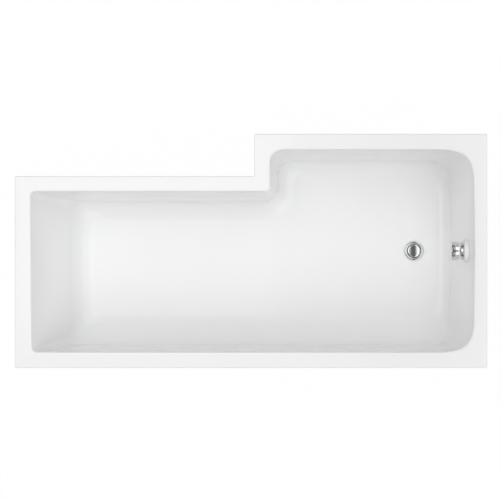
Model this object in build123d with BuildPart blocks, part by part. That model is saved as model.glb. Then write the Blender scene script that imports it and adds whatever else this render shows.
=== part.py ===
from build123d import *
import os
from math import cos, pi, radians, sin, sqrt, tan

os.makedirs("parts", exist_ok=True)

# An L-shaped shower bath on its cradle, with a cable-operated pop-up waste and overflow.
# +X runs from the sloping backrest to the shower end, +Y from the wall to the room, +Z up.
# The origin is on the floor, under the middle of the rim's outline. Sizes are millimetres.

# Plan of the rim's outer edge
length = 1695.0
shower_width = 840.0
bathing_width = 688.0
shower_length = 836.0
rim_corner = 4.0
rim_height = 550.0

# Width of the flat rim on each side, from the outer edge to the basin's lip
foot_rim = 57.0
foot_rim_splay = 2.7
wall_rim = 58.0
end_rim = 47.5
wide_rim = 56.5
step_rim = 57.0
room_rim = 55.0

# Sheet thicknesses and edges
acrylic = 5.0
glassfibre = 4.0
skirt_depth = 40.0
rim_edge_radius = 4.0
lip_radius = 7.0

# Basin: depth at the waste, fall of the floor towards it, and each wall's draft and floor radius
basin_depth = 400.0
floor_fall = 0.6
wall_profile = (3.5, 140.0)
end_profile = (10.5, 45.0)
wide_profile = (5.5, 72.0)
step_profile = (5.5, 62.0)
room_profile = (5.5, 72.0)
back_profile = (22.0, 90.0)
backrest_bow = 10.0
end_bow = 3.0

# Basin corners as (length along X, length along Y, fullness), at the lip and at the floor
foot_corner = ((16.0, 16.0, 0.56), (55.0, 55.0, 0.56))
end_corner = ((135.0, 120.0, 0.78), (95.0, 85.0, 0.62))
nook_corner = ((58.0, 46.0, 0.66), (62.0, 58.0, 0.60))
step_corner = ((16.0, 16.0, 0.56), (64.0, 64.0, 0.56))
level_shares = (0.0, 0.33, 0.63, 0.71, 0.78, 0.84, 0.89, 0.93, 0.96, 0.985, 1.0)

# Waste: hole, dished seat and fitting
waste_from_end = 245.0
waste_hole_radius = 25.5
recess_radius = 38.0
recess_depth = 3.0
seal_thickness = 3.0
foam_thickness = 1.0
flange_radius = 35.0
flange_rise = 3.2
flange_edge = 1.2
dish_radius = 24.5
throat_radius = 21.5
skirt_radius = 24.0
skirt_reach = 23.0
grid_depth = 16.0
grid_thickness = 3.0
grid_circle = 13.6
grid_holes = 6
grid_hole_radius = 5.2
crest_radius = 31.0
dish_lip = 0.8
throat_depth = 3.0
top_seal_radius = 33.0

# Waste body under the floor
body_flange_radius = 38.0
body_flange_thickness = 4.0
body_wall = 3.5
body_depth = 50.0
ledge_thickness = 3.0
outlet_radius = 23.9
outlet_wall = 3.4
outlet_length = 28.0
spigot_radius = 11.0
spigot_wall = 2.4
spigot_reach = 34.0
spigot_drop = 26.0

# Plug, its spindle and the lever that lifts it
plug_radius = 23.0
plug_rim_height = 2.6
plug_crown = 1.2
plug_boss_radius = 7.0
plug_boss_depth = 8.0
plug_seal_radius = 21.8
plug_seal_height = 2.5
cap_sink = 0.1
spindle_radius = 3.0
spindle_foot_radius = 2.5
lever_arm = 28.0
lever_swing = 20.0
lever_width = 5.0
lever_thickness = 5.0
lever_upright = 20.0
lever_drop = 41.0
pin_radius = 2.0
pocket_wall = 3.0
pocket_clearance = 1.0
pocket_reach = 12.0
lever_hub_radius = 5.0
fork_gap = 2.6
nipple_radius = 2.2

# Overflow: moulded pad, plate, knob and the body behind the wall
overflow_depth = 120.0
pad_radius = 42.0
pad_merge = 5.0
overflow_hole_radius = 26.0
overflow_seal_thickness = 3.0
plate_radius = 34.25
plate_rim = 1.6
plate_height = 11.5
plate_top_radius = 32.0
plate_wall = 2.5
sleeve_radius = 23.7
sleeve_wall = 3.0
sleeve_reach = 26.0
inlet_radius = 4.0
inlet_circle = 14.0
inlet_count = 6
knob_radius = 34.25
knob_length = 29.0
knob_gap = 6.0
knob_edge = 4.5
knob_wall = 2.5
knob_face = 4.0
knob_hub_radius = 10.0
grub_radius = 2.0
grub_from_back = 6.5
grub_length = 5.5
shaft_radius = 3.0
bearing_radius = 8.0
cup_radius = 27.5
cup_wall = 3.6
cup_depth = 40.0
cup_flange_radius = 32.0
cup_flange_thickness = 3.0
drum_radius = 8.0
drum_groove_radius = 4.2
drum_width = 6.0
bearing_reach = 5.0
front_seal_radius = 33.0

# Overflow hose, its clips, and the control cable
hose_bore_radius = 11.3
hose_wall = 1.9
rib_height = 1.7
rib_pitch = 5.6
hose_bend = 78.0
cuff_length = 26.0
clip_width = 9.0
clip_thickness = 0.9
cable_radius = 2.5
wire_radius = 0.8
gland_radius = 5.0
gland_length = 10.0
gland_sink = 4.0
hose_stand_off = 4.0
clip_housing = 7.0
cable_out = 100.0
wire_slant = 45.0
cable_bends = (95.0, 98.0, 38.0)

# Baseboard, cradle rails, feet and rim strips
board_thickness = 18.0
board_margin = 8.0
board_notch = 120.0
rail_positions = (-500.0, -70.0, 420.0)
rail_width = 42.0
rail_depth = 24.0
rail_sheet = 2.0
rail_overhang = 26.0
foot_from_wall_lip = 50.0
foot_from_room_lip = 26.0
stud_radius = 5.0
stud_above_rail = 25.0
stud_in_foot = 12.0
foot_radius = 25.0
foot_base_height = 6.0
foot_hub_radius = 11.0
foot_height = 20.0
nut_across_flats = 17.0
nut_height = 8.0
strip_width = 26.0
strip_depth = 18.0
strip_gap = 2.0
screw_radius = 2.0
screw_head_radius = 4.0
screw_head_height = 2.4
screw_length = 15.0
rail_screws = 4
screw_edge = 35.0
board_corner = 48.0
foot_shoulder = 4.0
foot_edge_radius = 2.0
stud_chamfer = 0.8

# Wall brackets
bracket_positions = (-560.0, 560.0)
bracket_width = 30.0
bracket_sheet = 2.0
bracket_drop = 42.0
bracket_clear = 3.0
bracket_screw_spacing = 16.0
wall_screw_radius = 2.75

# Clearances
running_fit = 0.05
hole_clearance = 0.5
seat_gap = 0.15
contact_gap = 0.3

# Places worked out from the sizes above
foot_x = -length / 2
end_x = length / 2
wall_y = -shower_width / 2
wide_y = shower_width / 2
room_y = wall_y + bathing_width
step_x = end_x - shower_length
waste_x = end_x - waste_from_end
floor_z = rim_height - basin_depth
seat_z = floor_z - recess_depth
overflow_z = rim_height - overflow_depth
shell_thickness = acrylic + glassfibre
deck_underside = rim_height - shell_thickness


def wall_inset(depth, profile, behind):
    """How far in from the lip a wall stands at a depth, for the surface `behind` the inner one."""
    draft = radians(profile[0])
    radius = profile[1]
    centre_depth = basin_depth - radius
    centre_inset = (radius + centre_depth * sin(draft)) / cos(draft)
    bend = radius + behind
    if depth <= centre_depth + bend * sin(draft):
        return depth * tan(draft) - behind / cos(draft)
    return centre_inset - sqrt(max(bend**2 - (depth - centre_depth) ** 2, 0.0))


def floor_inset(profile):
    """Inset of the line where a wall's floor radius meets the floor."""
    return wall_inset(basin_depth, profile, 0.0)


def tilted_plane(depth, tilt):
    """A plane under the waste's centre, leaning by tilt degrees towards the shower end."""
    lean = radians(tilt)
    return Plane(
        origin=(waste_x, 0, rim_height - depth),
        x_dir=(cos(lean), 0, -sin(lean)),
        z_dir=(sin(lean), 0, cos(lean)),
    )


def blend(sizes, share):
    return [lip + (floor - lip) * share for lip, floor in zip(*sizes)]


def basin_outline(depth, behind):
    """Corners of the basin's level section: place, lengths before and after, fullness, side bow."""
    share = depth / (basin_depth + behind)
    foot = foot_x + foot_rim + wall_inset(depth, back_profile, behind)
    wall = wall_y + wall_rim + wall_inset(depth, wall_profile, behind)
    end = end_x - end_rim - wall_inset(depth, end_profile, behind)
    wide = wide_y - wide_rim - wall_inset(depth, wide_profile, behind)
    step = step_x + step_rim + wall_inset(depth, step_profile, behind)
    room = room_y - room_rim - wall_inset(depth, room_profile, behind)
    foot_cut = blend(foot_corner, share)
    end_cut = blend(end_corner, share)
    nook_cut = blend(nook_corner, share)
    step_cut = blend(step_corner, share)
    return [
        (Vector(foot + foot_rim_splay, wall), foot_cut[1], foot_cut[0], foot_cut[2], 0.0),
        (Vector(end, wall), end_cut[0], end_cut[1], end_cut[2], end_bow),
        (Vector(end, wide), end_cut[1], end_cut[0], end_cut[2], 0.0),
        (Vector(step, wide), nook_cut[0], nook_cut[1], nook_cut[2], 0.0),
        (Vector(step, room), step_cut[1], step_cut[0], step_cut[2], 0.0),
        (Vector(foot - foot_rim_splay, room), foot_cut[0], foot_cut[1], foot_cut[2], backrest_bow * share),
    ]


def draw_basin_section(depth, behind):
    """The basin's outline at a depth, in the tilted plane's own coordinates."""
    shift = Vector(-waste_x, 0)
    corners = basin_outline(depth, behind)
    sides = []
    for index, (place, _, after, _, bow) in enumerate(corners):
        following, before = corners[(index + 1) % len(corners)][:2]
        along = (following - place).normalized()
        start = place + along * after + shift
        finish = following - along * before + shift
        outward = Vector(along.Y, -along.X)
        middle = (start + finish) * 0.5 + outward * bow
        sides.append((start, middle, finish, bow))
    for index, (start, middle, finish, bow) in enumerate(sides):
        corner = corners[index][0] + shift
        fullness = corners[index][3]
        arrived = sides[index - 1][2]
        Bezier(arrived, arrived + (corner - arrived) * fullness, start + (corner - start) * fullness, start)
        if bow:
            ThreePointArc(start, middle, finish)
        else:
            Line(start, finish)


def pad_face_x():
    """The overflow pad's flat face: level with the sloping end wall near the pad's lower edge."""
    merge_depth = overflow_depth + pad_radius - pad_merge
    return end_x - end_rim - wall_inset(merge_depth, end_profile, 0.0)


def basin(behind):
    """The basin's hollow, or its outside when behind is the thickness of the sheet."""
    with BuildPart() as hollow:
        for share in level_shares:
            depth = share * (basin_depth + behind)
            with BuildSketch(tilted_plane(depth, floor_fall * share)):
                with BuildLine():
                    draw_basin_section(depth, behind)
                make_face()
        loft(ruled=True)
        with BuildSketch(Plane.XY.offset(seat_z - behind)):
            with Locations((waste_x, 0)):
                Circle(recess_radius + behind)
        extrude(amount=2 * recess_depth)
        with BuildSketch(Plane.YZ.offset(pad_face_x() + behind)):
            with Locations((0, overflow_z)):
                Circle(pad_radius - behind)
        extrude(amount=end_x, mode=Mode.SUBTRACT)
    return hollow.part


def rim_corners(inside):
    """Corners of the rim's L-shaped plan, set in from the outer edge."""
    return [
        (foot_x + inside, wall_y + inside),
        (end_x - inside, wall_y + inside),
        (end_x - inside, wide_y - inside),
        (step_x + inside, wide_y - inside),
        (step_x + inside, room_y - inside),
        (foot_x + inside, room_y - inside),
    ]


inner_basin = basin(0.0)
acrylic_basin = basin(acrylic)
backed_basin = basin(shell_thickness)

# Places along the overflow's axis and down the waste's axis
pad_x = pad_face_x()
plate_x = pad_x - foam_thickness
knob_back_x = plate_x - plate_height - knob_gap
knob_front_x = knob_back_x - knob_length
cup_x = pad_x + shell_thickness + overflow_seal_thickness
cup_end_x = cup_x + cup_depth
spigot_x = cup_end_x - cup_wall - spigot_radius
overflow_axis = Axis((0, 0, overflow_z), (1, 0, 0))
waste_axis = Axis((waste_x, 0, 0), (0, 0, 1))
flange_z = seat_z + foam_thickness
body_z = seat_z - shell_thickness - seal_thickness
body_radius = skirt_radius + running_fit + body_wall
body_floor_z = body_z - body_depth
hose_z = body_z - spigot_drop
lever_z = body_z - lever_drop
lever_y = -lever_arm

with BuildPart() as bath_shell:
    with BuildSketch(Plane.XY.offset(rim_height)):
        Polygon(*rim_corners(0.0), align=None)
        fillet(vertices(), rim_corner)
    extrude(amount=-skirt_depth)
    fillet(faces().sort_by(Axis.Z)[-1].edges(), rim_edge_radius)
    with BuildSketch(Plane.XY.offset(rim_height - acrylic)):
        Polygon(*rim_corners(acrylic), align=None)
    extrude(amount=-skirt_depth, mode=Mode.SUBTRACT)
    add(acrylic_basin)
    add(inner_basin, mode=Mode.SUBTRACT)
    fillet(faces().sort_by(Axis.Z)[-1].inner_wires()[0].edges(), lip_radius)
    with BuildSketch(Plane.XY):
        with Locations((waste_x, 0)):
            Circle(waste_hole_radius)
    extrude(amount=rim_height / 2, mode=Mode.SUBTRACT)
    with BuildSketch(Plane.YZ.offset(waste_x)):
        with Locations((0, overflow_z)):
            Circle(overflow_hole_radius)
    extrude(amount=end_x - waste_x, mode=Mode.SUBTRACT)
bath_shell.part.label = "bath_shell"
export_step(bath_shell.part, "parts/bath_shell.step")

# Glass-fibre backing on the underside of the deck and the outside of the basin
with BuildPart() as shell_reinforcement:
    with BuildSketch(Plane.XY.offset(rim_height - acrylic)):
        Polygon(*rim_corners(acrylic), align=None)
    extrude(amount=-glassfibre)
    add(backed_basin)
    with BuildSketch(Plane.XY.offset(rim_height - acrylic)):
        Rectangle(length, shower_width)
    extrude(amount=2 * acrylic, mode=Mode.SUBTRACT)
    add(acrylic_basin, mode=Mode.SUBTRACT)
    with BuildSketch(Plane.XY):
        with Locations((waste_x, 0)):
            Circle(waste_hole_radius)
    extrude(amount=rim_height / 2, mode=Mode.SUBTRACT)
    with BuildSketch(Plane.YZ.offset(waste_x)):
        with Locations((0, overflow_z)):
            Circle(overflow_hole_radius)
    extrude(amount=end_x - waste_x, mode=Mode.SUBTRACT)
shell_reinforcement.part.label = "shell_reinforcement"
export_step(shell_reinforcement.part, "parts/shell_reinforcement.step")

# Baseboard bonded under the flat of the floor, notched round the waste
board_plane = tilted_plane(basin_depth + shell_thickness, floor_fall)
rail_plane = board_plane.offset(-board_thickness)
board_foot_x = foot_x + foot_rim + foot_rim_splay + floor_inset(back_profile) + board_margin
board_end_x = end_x - end_rim - floor_inset(end_profile) - board_margin
board_wall_y = wall_y + wall_rim + floor_inset(wall_profile) + board_margin
board_room_y = room_y - room_rim - floor_inset(room_profile) - board_margin
board_wide_y = wide_y - wide_rim - floor_inset(wide_profile) - board_margin
board_step_x = step_x + step_rim + floor_inset(step_profile) + board_margin


def under_board_z(x):
    return rail_plane.origin.Z - (x - rail_plane.origin.X) * tan(radians(floor_fall))


def rail_room_y(x):
    """The cradle's room-side limit: the wide part reaches further out."""
    return (wide_y - wide_rim) if x > step_x else (room_y - room_rim)


def screw_rows(x):
    """Places across the board for one rail's screws."""
    high = board_wide_y if x > board_step_x else board_room_y
    span = high - board_wall_y - 2 * screw_edge
    return [board_wall_y + screw_edge + span * row / (rail_screws - 1) for row in range(rail_screws)]


rail_screw_places = [(x - waste_x, y) for x in rail_positions for y in screw_rows(x)]

with BuildPart() as baseboard:
    with BuildSketch(board_plane):
        Polygon(
            (board_foot_x - waste_x, board_wall_y),
            (board_end_x - waste_x, board_wall_y),
            (board_end_x - waste_x, board_wide_y),
            (board_step_x - waste_x, board_wide_y),
            (board_step_x - waste_x, board_room_y),
            (board_foot_x - waste_x, board_room_y),
            align=None,
        )
        fillet(vertices(), board_corner)
        Circle(board_notch / 2, mode=Mode.SUBTRACT)
        with Locations((board_end_x - waste_x, 0)):
            Rectangle(2 * (board_end_x - waste_x), board_notch, mode=Mode.SUBTRACT)
    extrude(amount=-board_thickness)
    with BuildSketch(rail_plane):
        with Locations(*rail_screw_places):
            Circle(screw_radius + running_fit)
    extrude(amount=screw_length, mode=Mode.SUBTRACT)
baseboard.part.label = "baseboard"
export_step(baseboard.part, "parts/baseboard.step")

# Cradle rails: pressed steel channels across the board, their ends standing out past it
foot_wall_y = wall_y + wall_rim + foot_from_wall_lip
foot_places = []
for number, x in enumerate(rail_positions, start=1):
    foot_room_y = rail_room_y(x) - foot_from_room_lip
    foot_places += [(x, foot_wall_y), (x, foot_room_y)]
    rail_length = foot_room_y - foot_wall_y + 2 * rail_overhang
    rail_middle = (x - waste_x, (foot_room_y + foot_wall_y) / 2)
    with BuildPart() as rail:
        with BuildSketch(rail_plane):
            with Locations(rail_middle):
                Rectangle(rail_width, rail_length)
        extrude(amount=-rail_depth)
        fillet(faces().sort_by(Axis.Z)[-1].edges().filter_by(Axis.Y), rail_sheet)
        with BuildSketch(rail_plane.offset(-rail_sheet)):
            with Locations(rail_middle):
                Rectangle(rail_width - 2 * rail_sheet, rail_length)
        extrude(amount=-rail_depth, mode=Mode.SUBTRACT)
        with BuildSketch(Plane.XY):
            with Locations((x, foot_wall_y), (x, foot_room_y)):
                Circle(stud_radius + hole_clearance)
        extrude(amount=rim_height / 2, mode=Mode.SUBTRACT)
        with BuildSketch(rail_plane):
            with Locations(*[(x - waste_x, y) for y in screw_rows(x)]):
                Circle(screw_radius + hole_clearance)
        extrude(amount=-rail_depth, mode=Mode.SUBTRACT)
    rail.part.label = f"cradle_rail_{number}"
    export_step(rail.part, f"parts/cradle_rail_{number}.step")

# Pan-head screws that hold the rails to the board
with BuildPart() as rail_screws_group:
    with BuildSketch(rail_plane.offset(-rail_sheet)):
        with Locations(*rail_screw_places):
            Circle(screw_head_radius)
    extrude(amount=-screw_head_height)
    with BuildSketch(rail_plane.offset(-rail_sheet)):
        with Locations(*rail_screw_places):
            Circle(screw_radius)
    extrude(amount=screw_length)
rail_screws_group.part.label = "rail_screws"
export_step(rail_screws_group.part, "parts/rail_screws.step")

# Feet: a threaded stud screwed into a moulded foot, adjusted and locked at the rail by two nuts
for number, (x, y) in enumerate(foot_places, start=1):
    with BuildPart() as foot_stud:
        with BuildSketch(Plane.XY.offset(foot_height - stud_in_foot)):
            with Locations((x, y)):
                Circle(stud_radius)
        extrude(amount=under_board_z(x) + stud_above_rail - foot_height + stud_in_foot)
        chamfer(edges().filter_by(GeomType.CIRCLE), stud_chamfer)
    foot_stud.part.label = f"foot_stud_{number}"
    export_step(foot_stud.part, f"parts/foot_stud_{number}.step")

    with BuildPart() as foot_pad:
        with BuildSketch(Plane.XZ.offset(-y)):
            Polygon(
                (x, 0),
                (x + foot_radius, 0),
                (x + foot_radius, foot_base_height),
                (x + foot_hub_radius, foot_base_height + foot_shoulder),
                (x + foot_hub_radius, foot_height),
                (x, foot_height),
                align=None,
            )
        revolve(axis=Axis((x, y, 0), (0, 0, 1)))
        fillet(edges().filter_by(GeomType.CIRCLE).sort_by(Axis.Z)[1], foot_edge_radius)
        with BuildSketch(Plane.XY.offset(foot_height - stud_in_foot)):
            with Locations((x, y)):
                Circle(stud_radius + running_fit)
        extrude(amount=stud_in_foot, mode=Mode.SUBTRACT)
    foot_pad.part.label = f"foot_pad_{number}"
    export_step(foot_pad.part, f"parts/foot_pad_{number}.step")

for name, rise in (("upper_lock_nuts", seat_gap), ("lower_lock_nuts", -rail_sheet - seat_gap - nut_height)):
    with BuildPart() as lock_nuts:
        for x, y in foot_places:
            with BuildSketch(Plane.XY.offset(under_board_z(x) + rise)):
                with Locations((x, y)):
                    RegularPolygon(nut_across_flats / 2, 6, major_radius=False)
                    Circle(stud_radius + running_fit, mode=Mode.SUBTRACT)
            extrude(amount=nut_height)
    lock_nuts.part.label = name
    export_step(lock_nuts.part, f"parts/{name}.step")

# Timber strips bonded under the deck, one along each side of the rim
strip_edge = acrylic + strip_gap
strip_inner = strip_edge + strip_width
strips = {
    "rim_strip_wall": (foot_x + strip_edge, wall_y + strip_edge, end_x - strip_edge, wall_y + strip_inner),
    "rim_strip_end": (
        end_x - strip_inner,
        wall_y + strip_inner + strip_gap,
        end_x - strip_edge,
        wide_y - strip_edge,
    ),
    "rim_strip_wide": (
        step_x + strip_edge,
        wide_y - strip_inner,
        end_x - strip_inner - strip_gap,
        wide_y - strip_edge,
    ),
    "rim_strip_step": (
        step_x + strip_edge,
        room_y - strip_inner,
        step_x + strip_inner,
        wide_y - strip_inner - strip_gap,
    ),
    "rim_strip_room": (
        foot_x + strip_inner + strip_gap,
        room_y - strip_inner,
        step_x + strip_edge - strip_gap,
        room_y - strip_edge,
    ),
    "rim_strip_foot": (
        foot_x + strip_edge,
        wall_y + strip_inner + strip_gap,
        foot_x + strip_inner,
        room_y - strip_edge,
    ),
}
strip_underside = deck_underside - strip_depth
bracket_screw_y = wall_y + (strip_edge + strip_inner) / 2
bracket_screw_places = [
    (x + side * bracket_screw_spacing / 2, bracket_screw_y) for x in bracket_positions for side in (-1, 1)
]
for name, (low_x, low_y, high_x, high_y) in strips.items():
    with BuildPart() as strip:
        with BuildSketch(Plane.XY.offset(deck_underside)):
            with Locations(((low_x + high_x) / 2, (low_y + high_y) / 2)):
                Rectangle(high_x - low_x, high_y - low_y)
        extrude(amount=-strip_depth)
        if name == "rim_strip_wall":
            with BuildSketch(Plane.XY.offset(strip_underside)):
                with Locations(*bracket_screw_places):
                    Circle(screw_radius + running_fit)
            extrude(amount=screw_length, mode=Mode.SUBTRACT)
    strip.part.label = name
    export_step(strip.part, f"parts/{name}.step")

# Wall brackets: bent steel, screwed up into the wall-side strip and back to the wall below the skirt
bracket_foot_z = rim_height - skirt_depth - bracket_clear
hook_y = wall_y + strip_edge
with BuildPart() as wall_brackets:
    for x in bracket_positions:
        with BuildSketch(Plane.YZ.offset(x - bracket_width / 2)):
            Polygon(
                (wall_y + strip_inner, strip_underside),
                (hook_y, strip_underside),
                (hook_y, bracket_foot_z),
                (wall_y, bracket_foot_z),
                (wall_y, bracket_foot_z - bracket_drop),
                (wall_y + bracket_sheet, bracket_foot_z - bracket_drop),
                (wall_y + bracket_sheet, bracket_foot_z - bracket_sheet),
                (hook_y + bracket_sheet, bracket_foot_z - bracket_sheet),
                (hook_y + bracket_sheet, strip_underside - bracket_sheet),
                (wall_y + strip_inner, strip_underside - bracket_sheet),
                align=None,
            )
        extrude(amount=bracket_width)
        with BuildSketch(Plane.XZ.offset(-wall_y - bracket_sheet)):
            with Locations((x, bracket_foot_z - bracket_drop / 2)):
                Circle(wall_screw_radius)
        extrude(amount=bracket_sheet, mode=Mode.SUBTRACT)
    with BuildSketch(Plane.XY.offset(strip_underside - bracket_sheet)):
        with Locations(*bracket_screw_places):
            Circle(screw_radius + hole_clearance)
    extrude(amount=bracket_sheet, mode=Mode.SUBTRACT)
wall_brackets.part.label = "wall_brackets"
export_step(wall_brackets.part, "parts/wall_brackets.step")

with BuildPart() as bracket_screws:
    with BuildSketch(Plane.XY.offset(strip_underside - bracket_sheet)):
        with Locations(*bracket_screw_places):
            Circle(screw_head_radius)
    extrude(amount=-screw_head_height)
    with BuildSketch(Plane.XY.offset(strip_underside - bracket_sheet)):
        with Locations(*bracket_screw_places):
            Circle(screw_radius)
    extrude(amount=screw_length)
bracket_screws.part.label = "bracket_screws"
export_step(bracket_screws.part, "parts/bracket_screws.step")


def ring(plane, places, outer, inner, thickness):
    """A flat washer or band."""
    with BuildPart() as washer:
        with BuildSketch(plane):
            with Locations(places):
                Circle(outer)
                Circle(inner, mode=Mode.SUBTRACT)
        extrude(amount=thickness)
    return washer.part


# Waste seals: thin foam under the chrome flange, rubber between the floor's underside and the body
waste_top_seal = ring(
    Plane.XY.offset(seat_z),
    (waste_x, 0),
    top_seal_radius,
    waste_hole_radius,
    foam_thickness,
)
waste_top_seal.label = "waste_top_seal"
export_step(waste_top_seal, "parts/waste_top_seal.step")
waste_lower_seal = ring(
    Plane.XY.offset(body_z),
    (waste_x, 0),
    body_flange_radius,
    waste_hole_radius,
    seal_thickness,
)
waste_lower_seal.label = "waste_lower_seal"
export_step(waste_lower_seal, "parts/waste_lower_seal.step")

# Waste flange: dished chrome ring, threaded skirt and a grid that guides the plug's spindle
grid_z = flange_z - grid_depth
with BuildPart() as waste_flange:
    with BuildSketch(Plane.XZ):
        Polygon(
            (waste_x + skirt_radius, flange_z),
            (waste_x + flange_radius, flange_z),
            (waste_x + flange_radius, flange_z + flange_edge),
            (waste_x + crest_radius, flange_z + flange_rise),
            (waste_x + dish_radius, flange_z + dish_lip),
            (waste_x + throat_radius, flange_z - throat_depth),
            (waste_x + throat_radius, grid_z),
            (waste_x + spindle_radius + running_fit, grid_z),
            (waste_x + spindle_radius + running_fit, grid_z - grid_thickness),
            (waste_x + throat_radius, grid_z - grid_thickness),
            (waste_x + throat_radius, flange_z - skirt_reach),
            (waste_x + skirt_radius, flange_z - skirt_reach),
            align=None,
        )
    revolve(axis=waste_axis)
    with BuildSketch(Plane.XY.offset(grid_z)):
        with Locations((waste_x, 0)):
            with PolarLocations(grid_circle, grid_holes):
                Circle(grid_hole_radius)
    extrude(amount=-grid_thickness, mode=Mode.SUBTRACT)
waste_flange.part.label = "waste_flange"
export_step(waste_flange.part, "parts/waste_flange.step")

# Plug: chrome cap, rubber seal and the spindle that the lever pushes up
crown_radius = (plug_radius**2 + plug_crown**2) / (2 * plug_crown)
with BuildPart() as plug_cap:
    with BuildSketch(Plane.XZ):
        with BuildLine():
            cap_z = flange_z - cap_sink
            Polyline(
                (waste_x, cap_z - plug_boss_depth),
                (waste_x + plug_boss_radius, cap_z - plug_boss_depth),
                (waste_x + plug_boss_radius, cap_z),
                (waste_x + plug_radius, cap_z),
                (waste_x + plug_radius, cap_z + plug_rim_height),
            )
            RadiusArc(
                (waste_x + plug_radius, cap_z + plug_rim_height),
                (waste_x, cap_z + plug_rim_height + plug_crown),
                -crown_radius,
            )
            Line((waste_x, cap_z + plug_rim_height + plug_crown), (waste_x, cap_z - plug_boss_depth))
        make_face()
    revolve(axis=waste_axis)
    with BuildSketch(Plane.XY.offset(cap_z - plug_boss_depth)):
        with Locations((waste_x, 0)):
            Circle(spindle_radius + running_fit)
    extrude(amount=plug_boss_depth - plug_rim_height / 2, mode=Mode.SUBTRACT)
plug_cap.part.label = "plug_cap"
export_step(plug_cap.part, "parts/plug_cap.step")

plug_seal = ring(
    Plane.XY.offset(cap_z - plug_seal_height),
    (waste_x, 0),
    plug_seal_radius,
    plug_boss_radius + running_fit,
    plug_seal_height,
)
plug_seal.label = "plug_seal"
export_step(plug_seal, "parts/plug_seal.step")

# The lever rests half its swing below level
rest_lean = -lever_swing / 2
tip_drop = lever_arm * sin(radians(lever_swing / 2))
spindle_foot_z = lever_z - tip_drop + lever_thickness / 2 + contact_gap
spindle_top_z = cap_z - plug_rim_height / 2 - seat_gap
with BuildPart() as plug_spindle:
    with BuildSketch(Plane.XY.offset(spindle_foot_z)):
        with Locations((waste_x, 0)):
            Circle(spindle_radius)
    extrude(amount=spindle_top_z - spindle_foot_z)
    fillet(edges().filter_by(GeomType.CIRCLE).sort_by(Axis.Z)[0], spindle_foot_radius)
plug_spindle.part.label = "plug_spindle"
export_step(plug_spindle.part, "parts/plug_spindle.step")

# Waste body: chamber, threaded outlet, side spigot for the hose and a pocket for the lever
pocket_width = lever_width + 2 * pocket_clearance
pocket_low_z = body_floor_z + ledge_thickness
pocket_high_z = lever_z + lever_upright + lever_thickness
pocket_far_y = lever_y - pocket_reach
cable_z = lever_z + lever_upright * cos(radians(lever_swing / 2))
with BuildPart() as waste_body:
    with BuildSketch(Plane.XY.offset(body_z)):
        with Locations((waste_x, 0)):
            Circle(body_flange_radius)
    extrude(amount=-body_flange_thickness)
    with BuildSketch(Plane.XY.offset(body_z)):
        with Locations((waste_x, 0)):
            Circle(body_radius)
    extrude(amount=-body_depth)
    with BuildSketch(Plane.XY.offset(body_floor_z)):
        with Locations((waste_x, 0)):
            Circle(outlet_radius)
    extrude(amount=-outlet_length)
    with BuildSketch(Plane.XY.offset(pocket_low_z - pocket_wall)):
        with Locations((waste_x, pocket_far_y / 2 - pocket_wall / 2)):
            Rectangle(pocket_width + 2 * pocket_wall, -pocket_far_y + pocket_wall)
    extrude(amount=pocket_high_z - pocket_low_z + 2 * pocket_wall)
    with BuildSketch(Plane.YZ.offset(waste_x)):
        with Locations((0, hose_z)):
            Circle(spigot_radius)
    extrude(amount=body_radius + spigot_reach)
    with BuildSketch(Plane.XZ.offset(-pocket_far_y + pocket_wall)):
        with Locations((waste_x, cable_z)):
            Circle(gland_radius)
    extrude(amount=gland_length)
    with BuildSketch(Plane.XY.offset(body_z)):
        with Locations((waste_x, 0)):
            Circle(skirt_radius + running_fit)
    extrude(amount=-body_depth + ledge_thickness, mode=Mode.SUBTRACT)
    with BuildSketch(Plane.XY.offset(body_floor_z - outlet_length)):
        with Locations((waste_x, 0)):
            Circle(outlet_radius - outlet_wall)
    extrude(amount=outlet_length + body_depth, mode=Mode.SUBTRACT)
    with BuildSketch(Plane.XY.offset(pocket_low_z)):
        with Locations((waste_x, pocket_far_y / 2)):
            Rectangle(pocket_width, -pocket_far_y)
    extrude(amount=pocket_high_z - pocket_low_z, mode=Mode.SUBTRACT)
    with BuildSketch(Plane.YZ.offset(waste_x + outlet_radius - outlet_wall)):
        with Locations((0, hose_z)):
            Circle(spigot_radius - spigot_wall)
    extrude(amount=body_radius + spigot_reach, mode=Mode.SUBTRACT)
    with BuildSketch(Plane.XZ.offset(-pocket_far_y)):
        with Locations((waste_x, cable_z)):
            Circle(wire_radius + hole_clearance)
    extrude(amount=pocket_wall + gland_length, mode=Mode.SUBTRACT)
    with BuildSketch(Plane.XZ.offset(-pocket_far_y + pocket_wall)):
        with Locations((waste_x, cable_z)):
            Circle(cable_radius + running_fit)
    extrude(amount=gland_length, mode=Mode.SUBTRACT)
    with BuildSketch(Plane.YZ.offset(waste_x - pocket_width / 2 - pocket_wall)):
        with Locations((lever_y, lever_z)):
            Circle(pin_radius + running_fit)
    extrude(amount=pocket_width + 2 * pocket_wall, mode=Mode.SUBTRACT)
waste_body.part.label = "waste_body"
export_step(waste_body.part, "parts/waste_body.step")

with BuildPart() as lever_pin:
    with BuildSketch(Plane.YZ.offset(waste_x - pocket_width / 2 - pocket_wall)):
        with Locations((lever_y, lever_z)):
            Circle(pin_radius)
    extrude(amount=pocket_width + 2 * pocket_wall)
lever_pin.part.label = "lever_pin"
export_step(lever_pin.part, "parts/lever_pin.step")

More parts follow.
